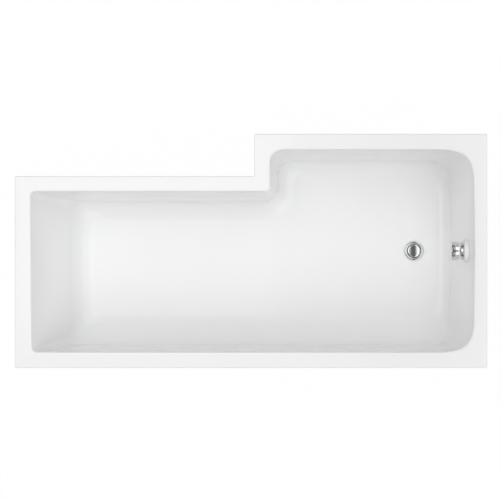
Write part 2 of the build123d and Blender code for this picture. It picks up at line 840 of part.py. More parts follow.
# Lift lever: a bell crank whose long arm lies under the spindle and whose fork takes the pull wire
arm_lean = radians(rest_lean)
arm_direction = Vector(cos(arm_lean), sin(arm_lean))
upright_direction = Vector(-sin(arm_lean), cos(arm_lean))
pivot = Vector(lever_y, lever_z)
upright_top = pivot + upright_direction * lever_upright
with BuildPart() as lift_lever:
    with BuildSketch(Plane.YZ.offset(waste_x - lever_width / 2)):
        with BuildLine():
            Line(pivot, pivot + arm_direction * lever_arm)
        trace(line_width=lever_thickness)
        with Locations(pivot + arm_direction * lever_arm):
            Circle(lever_thickness / 2)
        with BuildLine():
            Line(pivot, upright_top)
        trace(line_width=lever_thickness)
        with Locations(upright_top):
            Circle(lever_thickness / 2)
        with Locations(pivot):
            Circle(lever_hub_radius)
            Circle(pin_radius + running_fit, mode=Mode.SUBTRACT)
    extrude(amount=lever_width)
    with BuildSketch(Plane.XZ.offset(-lever_y + lever_upright)):
        with Locations((waste_x, cable_z)):
            Rectangle(fork_gap, 2 * lever_thickness)
    extrude(amount=-2 * lever_upright, mode=Mode.SUBTRACT)
lift_lever.part.label = "lift_lever"
export_step(lift_lever.part, "parts/lift_lever.step")

nipple_y = upright_top.X + lever_thickness / 2 + nipple_radius + seat_gap
with BuildPart() as cable_nipple:
    with BuildSketch(Plane.YZ.offset(waste_x - lever_width / 2)):
        with Locations((nipple_y, cable_z)):
            Circle(nipple_radius)
    extrude(amount=lever_width)
    with BuildSketch(Plane.XZ.offset(-nipple_y + nipple_radius)):
        with Locations((waste_x, cable_z)):
            Circle(wire_radius + hole_clearance)
    extrude(amount=-2 * nipple_radius, mode=Mode.SUBTRACT)
cable_nipple.part.label = "cable_nipple"
export_step(cable_nipple.part, "parts/cable_nipple.step")

# Overflow seals: foam behind the chrome plate, rubber between the wall's back and the body
overflow_front_seal = ring(
    Plane.YZ.offset(plate_x), (0, overflow_z), front_seal_radius, overflow_hole_radius, foam_thickness
)
overflow_front_seal.label = "overflow_front_seal"
export_step(overflow_front_seal, "parts/overflow_front_seal.step")
overflow_back_seal = ring(
    Plane.YZ.offset(pad_x + shell_thickness),
    (0, overflow_z),
    cup_flange_radius,
    overflow_hole_radius,
    overflow_seal_thickness,
)
overflow_back_seal.label = "overflow_back_seal"
export_step(overflow_back_seal, "parts/overflow_back_seal.step")

# Overflow plate: chrome disc with inlet holes, a bearing for the spindle and a threaded sleeve
with BuildPart() as overflow_plate:
    with BuildSketch(Plane.XZ):
        Polygon(
            (plate_x, overflow_z + plate_radius),
            (plate_x - plate_rim, overflow_z + plate_radius),
            (plate_x - plate_height, overflow_z + plate_top_radius),
            (plate_x - plate_height, overflow_z + shaft_radius + running_fit),
            (plate_x - plate_height + plate_wall + bearing_reach, overflow_z + shaft_radius + running_fit),
            (plate_x - plate_height + plate_wall + bearing_reach, overflow_z + bearing_radius),
            (plate_x - plate_height + plate_wall, overflow_z + bearing_radius),
            (plate_x - plate_height + plate_wall, overflow_z + sleeve_radius - sleeve_wall),
            (plate_x + sleeve_reach, overflow_z + sleeve_radius - sleeve_wall),
            (plate_x + sleeve_reach, overflow_z + sleeve_radius),
            (plate_x, overflow_z + sleeve_radius),
            align=None,
        )
    revolve(axis=overflow_axis)
    with BuildSketch(Plane.YZ.offset(plate_x - plate_height)):
        with Locations((0, overflow_z)):
            with PolarLocations(inlet_circle, inlet_count):
                Circle(inlet_radius)
    extrude(amount=plate_wall, mode=Mode.SUBTRACT)
overflow_plate.part.label = "overflow_plate"
export_step(overflow_plate.part, "parts/overflow_plate.step")

# Overflow knob: hollow chrome drum on a hub, clamped to the spindle by a grub screw
grub_x = knob_back_x - grub_from_back
with BuildPart() as overflow_knob:
    with BuildSketch(Plane.YZ.offset(knob_front_x)):
        with Locations((0, overflow_z)):
            Circle(knob_radius)
    extrude(amount=knob_length)
    fillet(edges().filter_by(GeomType.CIRCLE).sort_by(Axis.X)[0], knob_edge)
    fillet(edges().filter_by(GeomType.CIRCLE).sort_by(Axis.X)[-1], knob_wall / 2)
    with BuildSketch(Plane.YZ.offset(knob_front_x + knob_face)):
        with Locations((0, overflow_z)):
            Circle(knob_radius - knob_wall)
            Circle(knob_hub_radius, mode=Mode.SUBTRACT)
    extrude(amount=knob_length, mode=Mode.SUBTRACT)
    with BuildSketch(Plane.YZ.offset(knob_front_x + knob_face)):
        with Locations((0, overflow_z)):
            Circle(shaft_radius + running_fit)
    extrude(amount=knob_length, mode=Mode.SUBTRACT)
    with BuildSketch(Plane.XY.offset(overflow_z)):
        with Locations((grub_x, 0)):
            Circle(grub_radius + running_fit)
    extrude(amount=knob_radius, mode=Mode.SUBTRACT)
overflow_knob.part.label = "overflow_knob"
export_step(overflow_knob.part, "parts/overflow_knob.step")

with BuildPart() as grub_screw:
    with BuildSketch(Plane.XY.offset(overflow_z + shaft_radius + seat_gap)):
        with Locations((grub_x, 0)):
            Circle(grub_radius)
            RegularPolygon(grub_radius / 2, 6, mode=Mode.SUBTRACT)
    extrude(amount=grub_length)
grub_screw.part.label = "knob_grub_screw"
export_step(grub_screw.part, "parts/knob_grub_screw.step")

# Spindle from the knob, through the plate and into the body's back bearing
shaft_end_x = cup_end_x - cup_wall / 2
with BuildPart() as overflow_spindle:
    with BuildSketch(Plane.YZ.offset(knob_front_x + knob_face + seat_gap)):
        with Locations((0, overflow_z)):
            Circle(shaft_radius)
    extrude(amount=shaft_end_x - seat_gap - knob_front_x - knob_face - seat_gap)
overflow_spindle.part.label = "overflow_spindle"
export_step(overflow_spindle.part, "parts/overflow_spindle.step")

# Cable drum on the spindle, grooved for the pull wire
drum_x = spigot_x - drum_width / 2
with BuildPart() as cable_drum:
    with BuildSketch(Plane.XZ):
        Polygon(
            (drum_x, overflow_z + shaft_radius + running_fit),
            (drum_x, overflow_z + drum_radius),
            (drum_x + drum_width / 4, overflow_z + drum_radius),
            (drum_x + drum_width / 4, overflow_z + drum_groove_radius),
            (drum_x + 3 * drum_width / 4, overflow_z + drum_groove_radius),
            (drum_x + 3 * drum_width / 4, overflow_z + drum_radius),
            (drum_x + drum_width, overflow_z + drum_radius),
            (drum_x + drum_width, overflow_z + shaft_radius + running_fit),
            align=None,
        )
    revolve(axis=overflow_axis)
cable_drum.part.label = "cable_drum"
export_step(cable_drum.part, "parts/cable_drum.step")

# The pull wire leaves the drum down and towards the wall
wire_drop = radians(wire_slant)
wire_way = Vector(0, -cos(wire_drop), -sin(wire_drop))
wire_line = drum_groove_radius + wire_radius + contact_gap
wire_start = Vector(spigot_x, -wire_line * sin(wire_drop), overflow_z + wire_line * cos(wire_drop))
gland_start = wire_start + wire_way * (cup_radius - gland_sink)
gland_plane = Plane(origin=gland_start, z_dir=wire_way)

# Overflow body behind the wall: a cup with a back bearing, a spigot down and a cable gland
with BuildPart() as overflow_body:
    with BuildSketch(Plane.YZ.offset(cup_x)):
        with Locations((0, overflow_z)):
            Circle(cup_flange_radius)
    extrude(amount=cup_flange_thickness)
    with BuildSketch(Plane.YZ.offset(cup_x)):
        with Locations((0, overflow_z)):
            Circle(cup_radius)
    extrude(amount=cup_depth)
    with BuildSketch(Plane.XY.offset(overflow_z)):
        with Locations((spigot_x, 0)):
            Circle(spigot_radius)
    extrude(amount=-cup_radius - spigot_reach)
    with BuildSketch(gland_plane):
        Circle(gland_radius)
    extrude(amount=gland_length + gland_sink)
    with BuildSketch(Plane.YZ.offset(cup_x)):
        with Locations((0, overflow_z)):
            Circle(sleeve_radius + running_fit)
    extrude(amount=cup_depth - cup_wall, mode=Mode.SUBTRACT)
    with BuildSketch(Plane.YZ.offset(cup_end_x - cup_wall - bearing_reach)):
        with Locations((0, overflow_z)):
            Circle(bearing_radius)
    extrude(amount=bearing_reach)
    with BuildSketch(Plane.YZ.offset(cup_end_x - cup_wall - bearing_reach)):
        with Locations((0, overflow_z)):
            Circle(shaft_radius + running_fit)
    extrude(amount=bearing_reach + cup_wall / 2, mode=Mode.SUBTRACT)
    with BuildSketch(Plane.XY.offset(overflow_z - sleeve_radius / 2)):
        with Locations((spigot_x, 0)):
            Circle(spigot_radius - spigot_wall)
    extrude(amount=-cup_radius - spigot_reach, mode=Mode.SUBTRACT)
    with BuildSketch(Plane(origin=wire_start, z_dir=wire_way)):
        Circle(wire_radius + hole_clearance)
    extrude(amount=2 * cup_radius, mode=Mode.SUBTRACT)
    with BuildSketch(Plane(origin=gland_start + wire_way * gland_sink, z_dir=wire_way)):
        Circle(cable_radius + running_fit)
    extrude(amount=2 * gland_length, mode=Mode.SUBTRACT)
overflow_body.part.label = "overflow_body"
export_step(overflow_body.part, "parts/overflow_body.step")

# Ribbed overflow hose: down from the overflow spigot, one bend, and along to the waste spigot
hose_top_z = overflow_z - cup_radius - hose_stand_off
hose_end_x = waste_x + body_radius + hose_stand_off
hose_drop = hose_top_z - hose_z - hose_bend
hose_turn = hose_bend * pi / 2
hose_run = spigot_x - hose_bend - hose_end_x
hose_length = hose_drop + hose_turn + hose_run
hose_radius = hose_bore_radius + hose_wall


def hose_plane(distance):
    """The hose's cross-section plane at a distance along its centre line."""
    if distance <= hose_drop:
        return Plane(origin=(spigot_x, 0, hose_top_z - distance), x_dir=(0, 1, 0), z_dir=(0, 0, -1))
    if distance >= hose_drop + hose_turn:
        reach = spigot_x - hose_bend - (distance - hose_drop - hose_turn)
        return Plane(origin=(reach, 0, hose_z), x_dir=(0, 1, 0), z_dir=(-1, 0, 0))
    turned = (distance - hose_drop) / hose_bend
    centre = Vector(spigot_x - hose_bend, 0, hose_z + hose_bend)
    return Plane(
        origin=centre + Vector(cos(turned), 0, -sin(turned)) * hose_bend,
        x_dir=(0, 1, 0),
        z_dir=(-sin(turned), 0, -cos(turned)),
    )


rib_count = int((hose_length - 2 * cuff_length) / rib_pitch)
rib_step = (hose_length - 2 * cuff_length) / rib_count
rib_shape = ((0.1, 0.0), (0.3, rib_height), (0.7, rib_height), (0.9, 0.0))
hose_rings = [(0.0, hose_radius)]
for rib in range(rib_count):
    hose_rings += [(cuff_length + (rib + part) * rib_step, hose_radius + rise) for part, rise in rib_shape]
hose_rings += [(hose_length, hose_radius)]
with BuildPart() as overflow_hose:
    for distance, radius in hose_rings:
        with BuildSketch(hose_plane(distance)):
            Circle(radius)
    loft(ruled=True)
    with BuildLine() as hose_path:
        FilletPolyline(
            (spigot_x, 0, hose_top_z),
            (spigot_x, 0, hose_z),
            (hose_end_x, 0, hose_z),
            radius=hose_bend,
        )
    with BuildSketch(hose_plane(0.0)):
        Circle(hose_bore_radius)
    sweep(path=hose_path.wire(), mode=Mode.SUBTRACT)
overflow_hose.part.label = "overflow_hose"
export_step(overflow_hose.part, "parts/overflow_hose.step")
print("overflow hose:", round(hose_length), "mm long,", rib_count, "ribs")

# Worm-drive clips round the hose's two cuffs
with BuildPart() as hose_clips:
    for distance in (cuff_length / 2, hose_length - cuff_length / 2):
        with BuildSketch(hose_plane(distance - clip_width / 2)):
            Circle(hose_radius + clip_thickness)
            with Locations((hose_radius + clip_housing / 2, 0)):
                Rectangle(clip_housing, 2 * clip_housing)
            Circle(hose_radius + running_fit, mode=Mode.SUBTRACT)
        extrude(amount=clip_width)
hose_clips.part.label = "hose_clips"
export_step(hose_clips.part, "parts/hose_clips.step")

# Control cable: its casing runs from gland to gland, and the pull wire inside it runs on past both ends
corner_reach = (cable_out + wire_start.Y) / cos(wire_drop)
first_corner = wire_start + wire_way * corner_reach
second_corner = Vector(spigot_x, first_corner.Y, cable_z)
third_corner = Vector(waste_x, first_corner.Y, cable_z)
casing_start = gland_start + wire_way * (gland_sink + seat_gap)
casing_end = Vector(waste_x, pocket_far_y - pocket_wall - seat_gap, cable_z)
wire_end = Vector(waste_x, nipple_y + nipple_radius, cable_z)


def cable_route(start, finish):
    return [start, first_corner, second_corner, third_corner, finish]


with BuildPart() as control_cable:
    with BuildLine() as casing_path:
        FilletPolyline(*cable_route(casing_start, casing_end), radius=cable_bends)
    with BuildSketch(Plane(origin=casing_start, z_dir=wire_way)):
        Circle(cable_radius)
        Circle(wire_radius + contact_gap, mode=Mode.SUBTRACT)
    sweep(path=casing_path.wire())
control_cable.part.label = "control_cable"
export_step(control_cable.part, "parts/control_cable.step")

with BuildPart() as pull_wire:
    with BuildLine() as wire_path:
        FilletPolyline(*cable_route(wire_start, wire_end), radius=cable_bends)
    with BuildSketch(Plane(origin=wire_start, z_dir=wire_way)):
        Circle(wire_radius)
    sweep(path=wire_path.wire())
pull_wire.part.label = "pull_wire"
export_step(pull_wire.part, "parts/pull_wire.step")
print("control cable:", round(casing_path.wire().length), "mm long, bend radii", cable_bends)
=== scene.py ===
from math import cos, pi, radians, sin, sqrt, tan

import bmesh
import bpy
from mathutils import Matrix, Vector


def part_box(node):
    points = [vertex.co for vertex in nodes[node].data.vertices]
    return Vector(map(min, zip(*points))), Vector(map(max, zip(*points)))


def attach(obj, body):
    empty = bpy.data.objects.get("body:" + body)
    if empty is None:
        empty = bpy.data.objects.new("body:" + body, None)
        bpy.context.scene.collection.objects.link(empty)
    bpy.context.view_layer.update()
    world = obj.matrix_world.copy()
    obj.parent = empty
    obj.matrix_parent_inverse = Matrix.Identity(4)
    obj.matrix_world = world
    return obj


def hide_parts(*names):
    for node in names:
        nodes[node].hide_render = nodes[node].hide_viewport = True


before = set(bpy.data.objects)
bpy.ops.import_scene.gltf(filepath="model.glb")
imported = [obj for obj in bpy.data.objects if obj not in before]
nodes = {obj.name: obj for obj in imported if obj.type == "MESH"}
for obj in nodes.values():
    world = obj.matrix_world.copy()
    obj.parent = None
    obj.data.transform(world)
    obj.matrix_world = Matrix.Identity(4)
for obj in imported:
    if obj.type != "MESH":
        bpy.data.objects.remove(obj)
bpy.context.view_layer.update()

scene = bpy.context.scene


# Camera
# The view is straight down on the bath through a long lens, with the shower end on the right and
# the wall side at the bottom. The frame is a little wider than the rim.
view_height = 13.0
view_width = 1.7932
rim_top = 0.550
camera_data = bpy.data.cameras.new("view_from_above")
camera_data.lens = camera_data.sensor_width * view_height / view_width
camera_data.clip_end = 100.0
camera = bpy.data.objects.new("view_from_above", camera_data)
camera.location = (-0.0038, 0.0034, rim_top + view_height)
scene.collection.objects.link(camera)
scene.camera = camera


# Bath shell
# One sheet of white acrylic, heated and drawn into a mould: a flat rim with a turned-down skirt,
# a soft lip, a sloping backrest, an L-shaped basin with a wide square shower end, and a dished
# seat for the waste. It is about 5 mm thick all over.
length = 1.695
shower_width = 0.840
bathing_width = 0.688
shower_length = 0.836
foot_x = -length / 2
end_x = length / 2
wall_y = -shower_width / 2
wide_y = shower_width / 2
room_y = wall_y + bathing_width
step_x = end_x - shower_length
foot_rim = 0.057
foot_rim_splay = 0.0027
wall_rim = 0.058
end_rim = 0.0475
wide_rim = 0.0565
step_rim = 0.057
room_rim = 0.055
basin_depth = 0.400
floor_fall = radians(0.6)
wall_profile = (radians(3.5), 0.140)
end_profile = (radians(10.5), 0.045)
wide_profile = (radians(5.5), 0.072)
step_profile = (radians(5.5), 0.062)
room_profile = (radians(5.5), 0.072)
back_profile = (radians(22.0), 0.090)
backrest_bow = 0.010
end_bow = 0.003
foot_corner = ((0.016, 0.016, 0.56), (0.055, 0.055, 0.56))
end_corner = ((0.135, 0.120, 0.78), (0.095, 0.085, 0.62))
nook_corner = ((0.058, 0.046, 0.66), (0.062, 0.058, 0.60))
step_corner = ((0.016, 0.016, 0.56), (0.064, 0.064, 0.56))
lip_radius = 0.007
rim_edge = 0.004
skirt_depth = 0.040
acrylic = 0.005
waste_x = end_x - 0.245
waste_hole = 0.0255
recess_radius = 0.038
recess_depth = 0.003
rim_corner = 0.004
floor_margin = 0.004
lip_margin = 0.003
seat_edge = 0.0012
hair = 0.00002
corner_steps = 28
side_steps = 14
rim_corner_steps = 6


def wall_inset(depth, profile, behind):
    """How far in from the lip a wall stands at a depth, on the face `behind` the inner one."""
    draft, radius = profile
    if not behind and depth < lip_radius * (1 - sin(draft)):
        back = lip_radius * tan((pi / 2 - draft) / 2)
        return sqrt(lip_radius**2 - (lip_radius - depth) ** 2) - back
    centre_depth = basin_depth - radius
    centre_inset = (radius + centre_depth * sin(draft)) / cos(draft)
    bend = radius + behind
    if depth <= centre_depth + bend * sin(draft):
        return depth * tan(draft) - behind / cos(draft)
    return centre_inset - sqrt(max(bend**2 - (depth - centre_depth) ** 2, 0.0))


def basin_loop(depth, behind, shrink=0.0):
    """The points round the basin at a depth, leaning with the floor's fall, `shrink` further in."""
    share = min(depth / (basin_depth + behind), 1.0)
    foot = foot_x + foot_rim + wall_inset(depth, back_profile, behind) + shrink
    wall = wall_y + wall_rim + wall_inset(depth, wall_profile, behind) + shrink
    end = end_x - end_rim - wall_inset(depth, end_profile, behind) - shrink
    wide = wide_y - wide_rim - wall_inset(depth, wide_profile, behind) - shrink
    step = step_x + step_rim + wall_inset(depth, step_profile, behind) + shrink
    room = room_y - room_rim - wall_inset(depth, room_profile, behind) - shrink

    def cuts(corner):
        return [lip + (floor - lip) * share for lip, floor in zip(*corner)]

    def turned(corner):
        along_x, along_y, fullness = cuts(corner)
        return along_y, along_x, fullness

    corners = [
        (Vector((foot + foot_rim_splay, wall)), turned(foot_corner), 0.0),
        (Vector((end, wall)), cuts(end_corner), end_bow),
        (Vector((end, wide)), turned(end_corner), 0.0),
        (Vector((step, wide)), cuts(nook_corner), 0.0),
        (Vector((step, room)), turned(step_corner), 0.0),
        (Vector((foot - foot_rim_splay, room)), cuts(foot_corner), backrest_bow * share),
    ]
    starts = []
    ends = []
    for index, (place, (_, after, _), _) in enumerate(corners):
        following, (before, _, _), _ = corners[(index + 1) % len(corners)]
        along = (following - place).normalized()
        starts.append(place + along * after)
        ends.append(following - along * before)
    points = []
    for index, (place, (_, _, fullness), bow) in enumerate(corners):
        arrive = ends[index - 1]
        leave = starts[index]
        arrive_pull = arrive.lerp(place, fullness)
        leave_pull = leave.lerp(place, fullness)
        for step_number in range(corner_steps):
            t = step_number / corner_steps
            points.append(
                arrive * (1 - t) ** 3
                + arrive_pull * 3 * t * (1 - t) ** 2
                + leave_pull * 3 * t**2 * (1 - t)
                + leave * t**3
            )
        finish = ends[index]
        along = (finish - leave).normalized()
        outward = Vector((along.y, -along.x))
        for step_number in range(side_steps):
            t = step_number / side_steps
            points.append(leave.lerp(finish, t) + outward * bow * 4 * t * (1 - t))
    lean = tan(floor_fall * share)
    return [(p.x, p.y, rim_top - depth - (p.x - waste_x) * lean) for p in points]


def rim_loop(inside, z, corner):
    """The points round the rim's L-shaped outline, set in from the edge, with small corner arcs."""
    places = [
        Vector((foot_x + inside, wall_y + inside)),
        Vector((end_x - inside, wall_y + inside)),
        Vector((end_x - inside, wide_y - inside)),
        Vector((step_x + inside, wide_y - inside)),
        Vector((step_x + inside, room_y - inside)),
        Vector((foot_x + inside, room_y - inside)),
    ]
    points = []
    for index, place in enumerate(places):
        before = (places[index - 1] - place).normalized()
        after = (places[(index + 1) % len(places)] - place).normalized()
        turns_out = before.x * after.y - before.y * after.x > 0
        radius = corner + inside if turns_out else max(corner - inside, 0.0005)
        centre = place + (before + after) * radius
        for step_number in range(rim_corner_steps + 1):
            swing = radians(90.0 * step_number / rim_corner_steps)
            point = centre - after * radius * cos(swing) - before * radius * sin(swing)
            points.append((point.x, point.y, z))
    return points


def circle_loop(radius, height, steps=96):
    """Points round the waste's axis; height is a number, or "floor" for the leaning floor."""
    points = []
    for step_number in range(steps):
        turn = 2 * pi * step_number / steps
        x = radius * cos(turn)
        z = rim_top - basin_depth - x * tan(floor_fall) if height == "floor" else height
        points.append((waste_x + x, radius * sin(turn), z))
    return points


def skin(mesh, loops):
    """Joins each loop of points to the next with four-sided faces; returns the loops' vertices."""
    rows = [[mesh.verts.new(point) for point in loop] for loop in loops]
    for row, following in zip(rows, rows[1:]):
        for index in range(len(row)):
            after = (index + 1) % len(row)
            mesh.faces.new((row[index], row[after], following[after], following[index]))
    return rows


def fill_between(mesh, first, second):
    """Fills the flat band between two loops of vertices."""
    edges = []
    for row in (first, second):
        for index, vertex in enumerate(row):
            after = row[(index + 1) % len(row)]
            edge = mesh.edges.get((vertex, after)) or mesh.edges.new((vertex, after))
            edges.append(edge)
    bmesh.ops.triangle_fill(mesh, edges=edges, use_beauty=True, use_dissolve=False)


def basin_depths(behind):
    """Depths of the loops down a wall: close at the lip and round the floor radius."""
    largest = wall_profile[1]
    straight = basin_depth - largest
    if behind:
        depths = [behind]
    else:
        depths = [lip_radius * (1 - cos(radians(angle))) for angle in range(0, 91, 9)]
    top = depths[-1]
    depths += [top + (straight - top) * number / 10 for number in range(1, 10)]
    bend = largest + behind
    depths += [straight + bend * sin(radians(angle)) for angle in range(0, 90, 3)]
    depths.append(basin_depth + behind - hair)
    return depths


def new_piece(name, mesh, body):
    """Makes an object of a bmesh, with its faces turned outwards, and lets it ride on a body."""
    bmesh.ops.remove_doubles(mesh, verts=mesh.verts, dist=0.000001)
    bmesh.ops.recalc_face_normals(mesh, faces=mesh.faces)
    data = bpy.data.meshes.new(name)
    mesh.to_mesh(data)
    mesh.free()
    piece = bpy.data.objects.new(name, data)
    scene.collection.objects.link(piece)
    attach(piece, body)
    return piece


def pick(piece):
    """Selects one object alone and makes it the active one."""
    bpy.ops.object.select_all(action="DESELECT")
    piece.select_set(True)
    bpy.context.view_layer.objects.active = piece


overflow_drop = 0.120
overflow_z = rim_top - overflow_drop
overflow_hole = 0.026
pad_radius = 0.042
pad_merge = 0.005
wall_lean = end_profile[0]
pad_x = end_x - end_rim - (overflow_drop + pad_radius - pad_merge) * tan(wall_lean)
cutter_reach = 0.060


def disc_cutter(radius, low_x, high_x, slope=None):
    """A cylinder along the overflow's axis, cut along the wall's lean where it crosses slope."""
    bpy.ops.mesh.primitive_cylinder_add(
        vertices=128,
        radius=radius,
        depth=high_x - low_x,
        location=((high_x + low_x) / 2, 0, overflow_z),
        rotation=(0, pi / 2, 0),
    )
    cutter = bpy.context.object
    bpy.ops.object.transform_apply(location=True, rotation=True, scale=True)
    if slope is not None:
        bpy.ops.object.mode_set(mode="EDIT")
        bpy.ops.mesh.select_all(action="SELECT")
        bpy.ops.mesh.bisect(
            plane_co=(slope, 0, overflow_z),
            plane_no=(cos(wall_lean), 0, -sin(wall_lean)),
            use_fill=True,
            clear_outer=True,
        )
        bpy.ops.object.mode_set(mode="OBJECT")
    return cutter


def cut(piece, cutter, operation):
    """Applies one boolean to a piece and deletes the cutter."""
    pick(piece)
    boolean = piece.modifiers.new(operation, "BOOLEAN")
    boolean.operation = operation
    boolean.object = cutter
    boolean.solver = "EXACT"
    bpy.ops.object.modifier_apply(modifier=boolean.name)
    bpy.data.objects.remove(cutter)


def add_overflow_pad(piece, front, back):
    """Adds the flat pad for the overflow, its hollow back and its hole to a moulded skin."""
    wall_at_axis = end_x - end_rim - overflow_drop * tan(wall_lean)
    middle = wall_at_axis + (front + back) / 2 / cos(wall_lean)
    far = pad_x + cutter_reach
    cut(piece, disc_cutter(pad_radius - front, pad_x + front, far, middle), "UNION")
    cut(piece, disc_cutter(pad_radius - back, pad_x + back, far), "DIFFERENCE")
    cut(piece, disc_cutter(overflow_hole, pad_x - 0.010, far), "DIFFERENCE")


def moulding(name, front, back, node):
    """A closed skin between two faces of the moulding: its rim deck, its walls and its floor."""
    mesh = bmesh.new()
    floor_z = rim_top - basin_depth
    seat_z = floor_z - recess_depth
    inside = [basin_loop(depth, front) for depth in basin_depths(front)]
    inside.append(basin_loop(basin_depth + front, front, floor_margin))
    outside = [basin_loop(depth, back) for depth in basin_depths(back)]
    outside.append(basin_loop(basin_depth + back, back, floor_margin))
    inner_rows = skin(mesh, inside)
    outer_rows = skin(mesh, outside)
    seat_rows = skin(
        mesh,
        [circle_loop(recess_radius + front + seat_edge, "floor")]
        + [
            circle_loop(
                recess_radius + front + seat_edge * (1 - sin(radians(angle))),
                floor_z - front - seat_edge * (1 - cos(radians(angle))),
            )
            for angle in (30, 60, 90)
        ]
        + [
            circle_loop(recess_radius + front, seat_z - front),
            circle_loop(waste_hole, seat_z - front),
            circle_loop(waste_hole, seat_z - back),
            circle_loop(recess_radius + back, seat_z - back),
            circle_loop(recess_radius + back, floor_z - back),
        ],
    )
    for vertex in seat_rows[0]:
        vertex.co.z -= front
    for vertex in seat_rows[-1]:
        vertex.co.z -= (vertex.co.x - waste_x) * tan(floor_fall)
    fill_between(mesh, inner_rows[-1], seat_rows[0])
    fill_between(mesh, outer_rows[-1], seat_rows[-1])
    if front:
        top_loops = [
            rim_loop(front, rim_top - front, rim_corner),
            rim_loop(front, rim_top - back, rim_corner),
        ]
        lip_row = inner_rows[0]
    else:
        top_loops = []
        for angle in range(0, 91, 15):
            inward = rim_edge * (1 - sin(radians(angle)))
            down = rim_edge * (1 - cos(radians(angle)))
            top_loops.append(rim_loop(inward, rim_top - down, rim_corner))
        top_loops += [
            rim_loop(0.0, rim_top - skirt_depth, rim_corner),
            rim_loop(acrylic, rim_top - skirt_depth, rim_corner),
            rim_loop(acrylic, rim_top - acrylic, rim_corner),
        ]
        lip_row = skin(mesh, [basin_loop(0.0, 0.0, -lip_margin), inside[0]])[0]
    top_rows = skin(mesh, top_loops)
    fill_between(mesh, lip_row, top_rows[0])
    fill_between(mesh, outer_rows[0], top_rows[-1])
    piece = new_piece(name, mesh, "bath")
    add_overflow_pad(piece, front, back)
    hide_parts(node)
    pick(piece)
    bpy.ops.object.shade_smooth_by_angle(angle=radians(25))
    return piece


def mottle_group():
    """The effect every finish is built on: noise on the piece's own coordinates, given as a colour
    between two, a roughness between two, and a normal."""
    group = bpy.data.node_groups.new("mottle", "ShaderNodeTree")
    for name, kind, value in (
        ("Scale", "Float", 20.0),
        ("Detail", "Float", 3.0),
        ("Grain", "Float", 0.5),
        ("Stretch", "Vector", (1, 1, 1)),
        ("From", "Float", 0.3),
        ("To", "Float", 0.7),
        ("Low Colour", "Color", (0.5, 0.5, 0.5, 1)),
        ("High Colour", "Color", (0.5, 0.5, 0.5, 1)),
        ("Low Roughness", "Float", 0.5),
        ("High Roughness", "Float", 0.5),
        ("Relief", "Float", 0.0),
        ("Depth", "Float", 0.001),
    ):
        socket = group.interface.new_socket(name, in_out="INPUT", socket_type=f"NodeSocket{kind}")
        socket.default_value = value
    for name, kind in (("Colour", "Color"), ("Roughness", "Float"), ("Normal", "Vector")):
        group.interface.new_socket(name, in_out="OUTPUT", socket_type=f"NodeSocket{kind}")
    tree = group.nodes
    given = tree.new("NodeGroupInput").outputs
    result = tree.new("NodeGroupOutput").inputs
    place = tree.new("ShaderNodeTexCoord")
    stretched = tree.new("ShaderNodeVectorMath")
    stretched.operation = "MULTIPLY"
    cloud = tree.new("ShaderNodeTexNoise")
    share = tree.new("ShaderNodeMapRange")
    blend = tree.new("ShaderNodeMix")
    blend.data_type = "RGBA"
    gloss = tree.new("ShaderNodeMapRange")
    relief = tree.new("ShaderNodeBump")
    for source, target in (
        (place.outputs["Object"], stretched.inputs[0]),
        (given["Stretch"], stretched.inputs[1]),
        (stretched.outputs["Vector"], cloud.inputs["Vector"]),
        (given["Scale"], cloud.inputs["Scale"]),
        (given["Detail"], cloud.inputs["Detail"]),
        (given["Grain"], cloud.inputs["Roughness"]),
        (cloud.outputs["Fac"], share.inputs["Value"]),
        (given["From"], share.inputs["From Min"]),
        (given["To"], share.inputs["From Max"]),
        (share.outputs["Result"], blend.inputs["Factor"]),
        (given["Low Colour"], blend.inputs["A"]),
        (given["High Colour"], blend.inputs["B"]),
        (share.outputs["Result"], gloss.inputs["Value"]),
        (given["Low Roughness"], gloss.inputs["To Min"]),
        (given["High Roughness"], gloss.inputs["To Max"]),
        (cloud.outputs["Fac"], relief.inputs["Height"]),
        (given["Relief"], relief.inputs["Strength"]),
        (given["Depth"], relief.inputs["Distance"]),
        (blend.outputs["Result"], result["Colour"]),
        (gloss.outputs["Result"], result["Roughness"]),
        (relief.outputs["Normal"], result["Normal"]),
    ):
        group.links.new(source, target)
    return group


mottle = mottle_group()


def finish(name, metallic, *uses):
    """A material fed by the mottle group; each use lists the outputs it gives and its inputs."""
    material = bpy.data.materials.new(name)
    material.use_nodes = True
    tree = material.node_tree
    shader = tree.nodes["Principled BSDF"]
    shader.inputs["Metallic"].default_value = metallic
    targets = {"Colour": "Base Color", "Roughness": "Roughness", "Normal": "Normal"}
    for gives, values in uses:
        effect = tree.nodes.new("ShaderNodeGroup")
        effect.node_tree = mottle
        for socket, value in values.items():
            effect.inputs[socket].default_value = value
        for output in gives:
            tree.links.new(effect.outputs[output], shader.inputs[targets[output]])
    return material


everything = ("Colour", "Roughness", "Normal")


def dress(name, material):
    """Gives a CAD node or a new piece its finish."""
    piece = bpy.data.objects.get(name)
    piece.data.materials.clear()
    piece.data.materials.append(material)


white_acrylic = finish(
    "white_acrylic",
    0.0,
    (
        ("Colour",),
        {
            "Scale": 2.2,
            "Low Colour": (0.855, 0.857, 0.860, 1),
            "High Colour": (0.868, 0.869, 0.871, 1),
        },
    ),
    (("Roughness",), {"Scale": 9.0, "Low Roughness": 0.10, "High Roughness": 0.16}),
    (("Normal",), {"Scale": 5.0, "Detail": 1.0, "Relief": 0.05, "Depth": 0.002}),
)
white_acrylic.node_tree.nodes["Principled BSDF"].inputs["IOR"].default_value = 1.49

bath_shell = moulding("acrylic_shell", 0.0, acrylic, "bath_shell")
dress("acrylic_shell", white_acrylic)


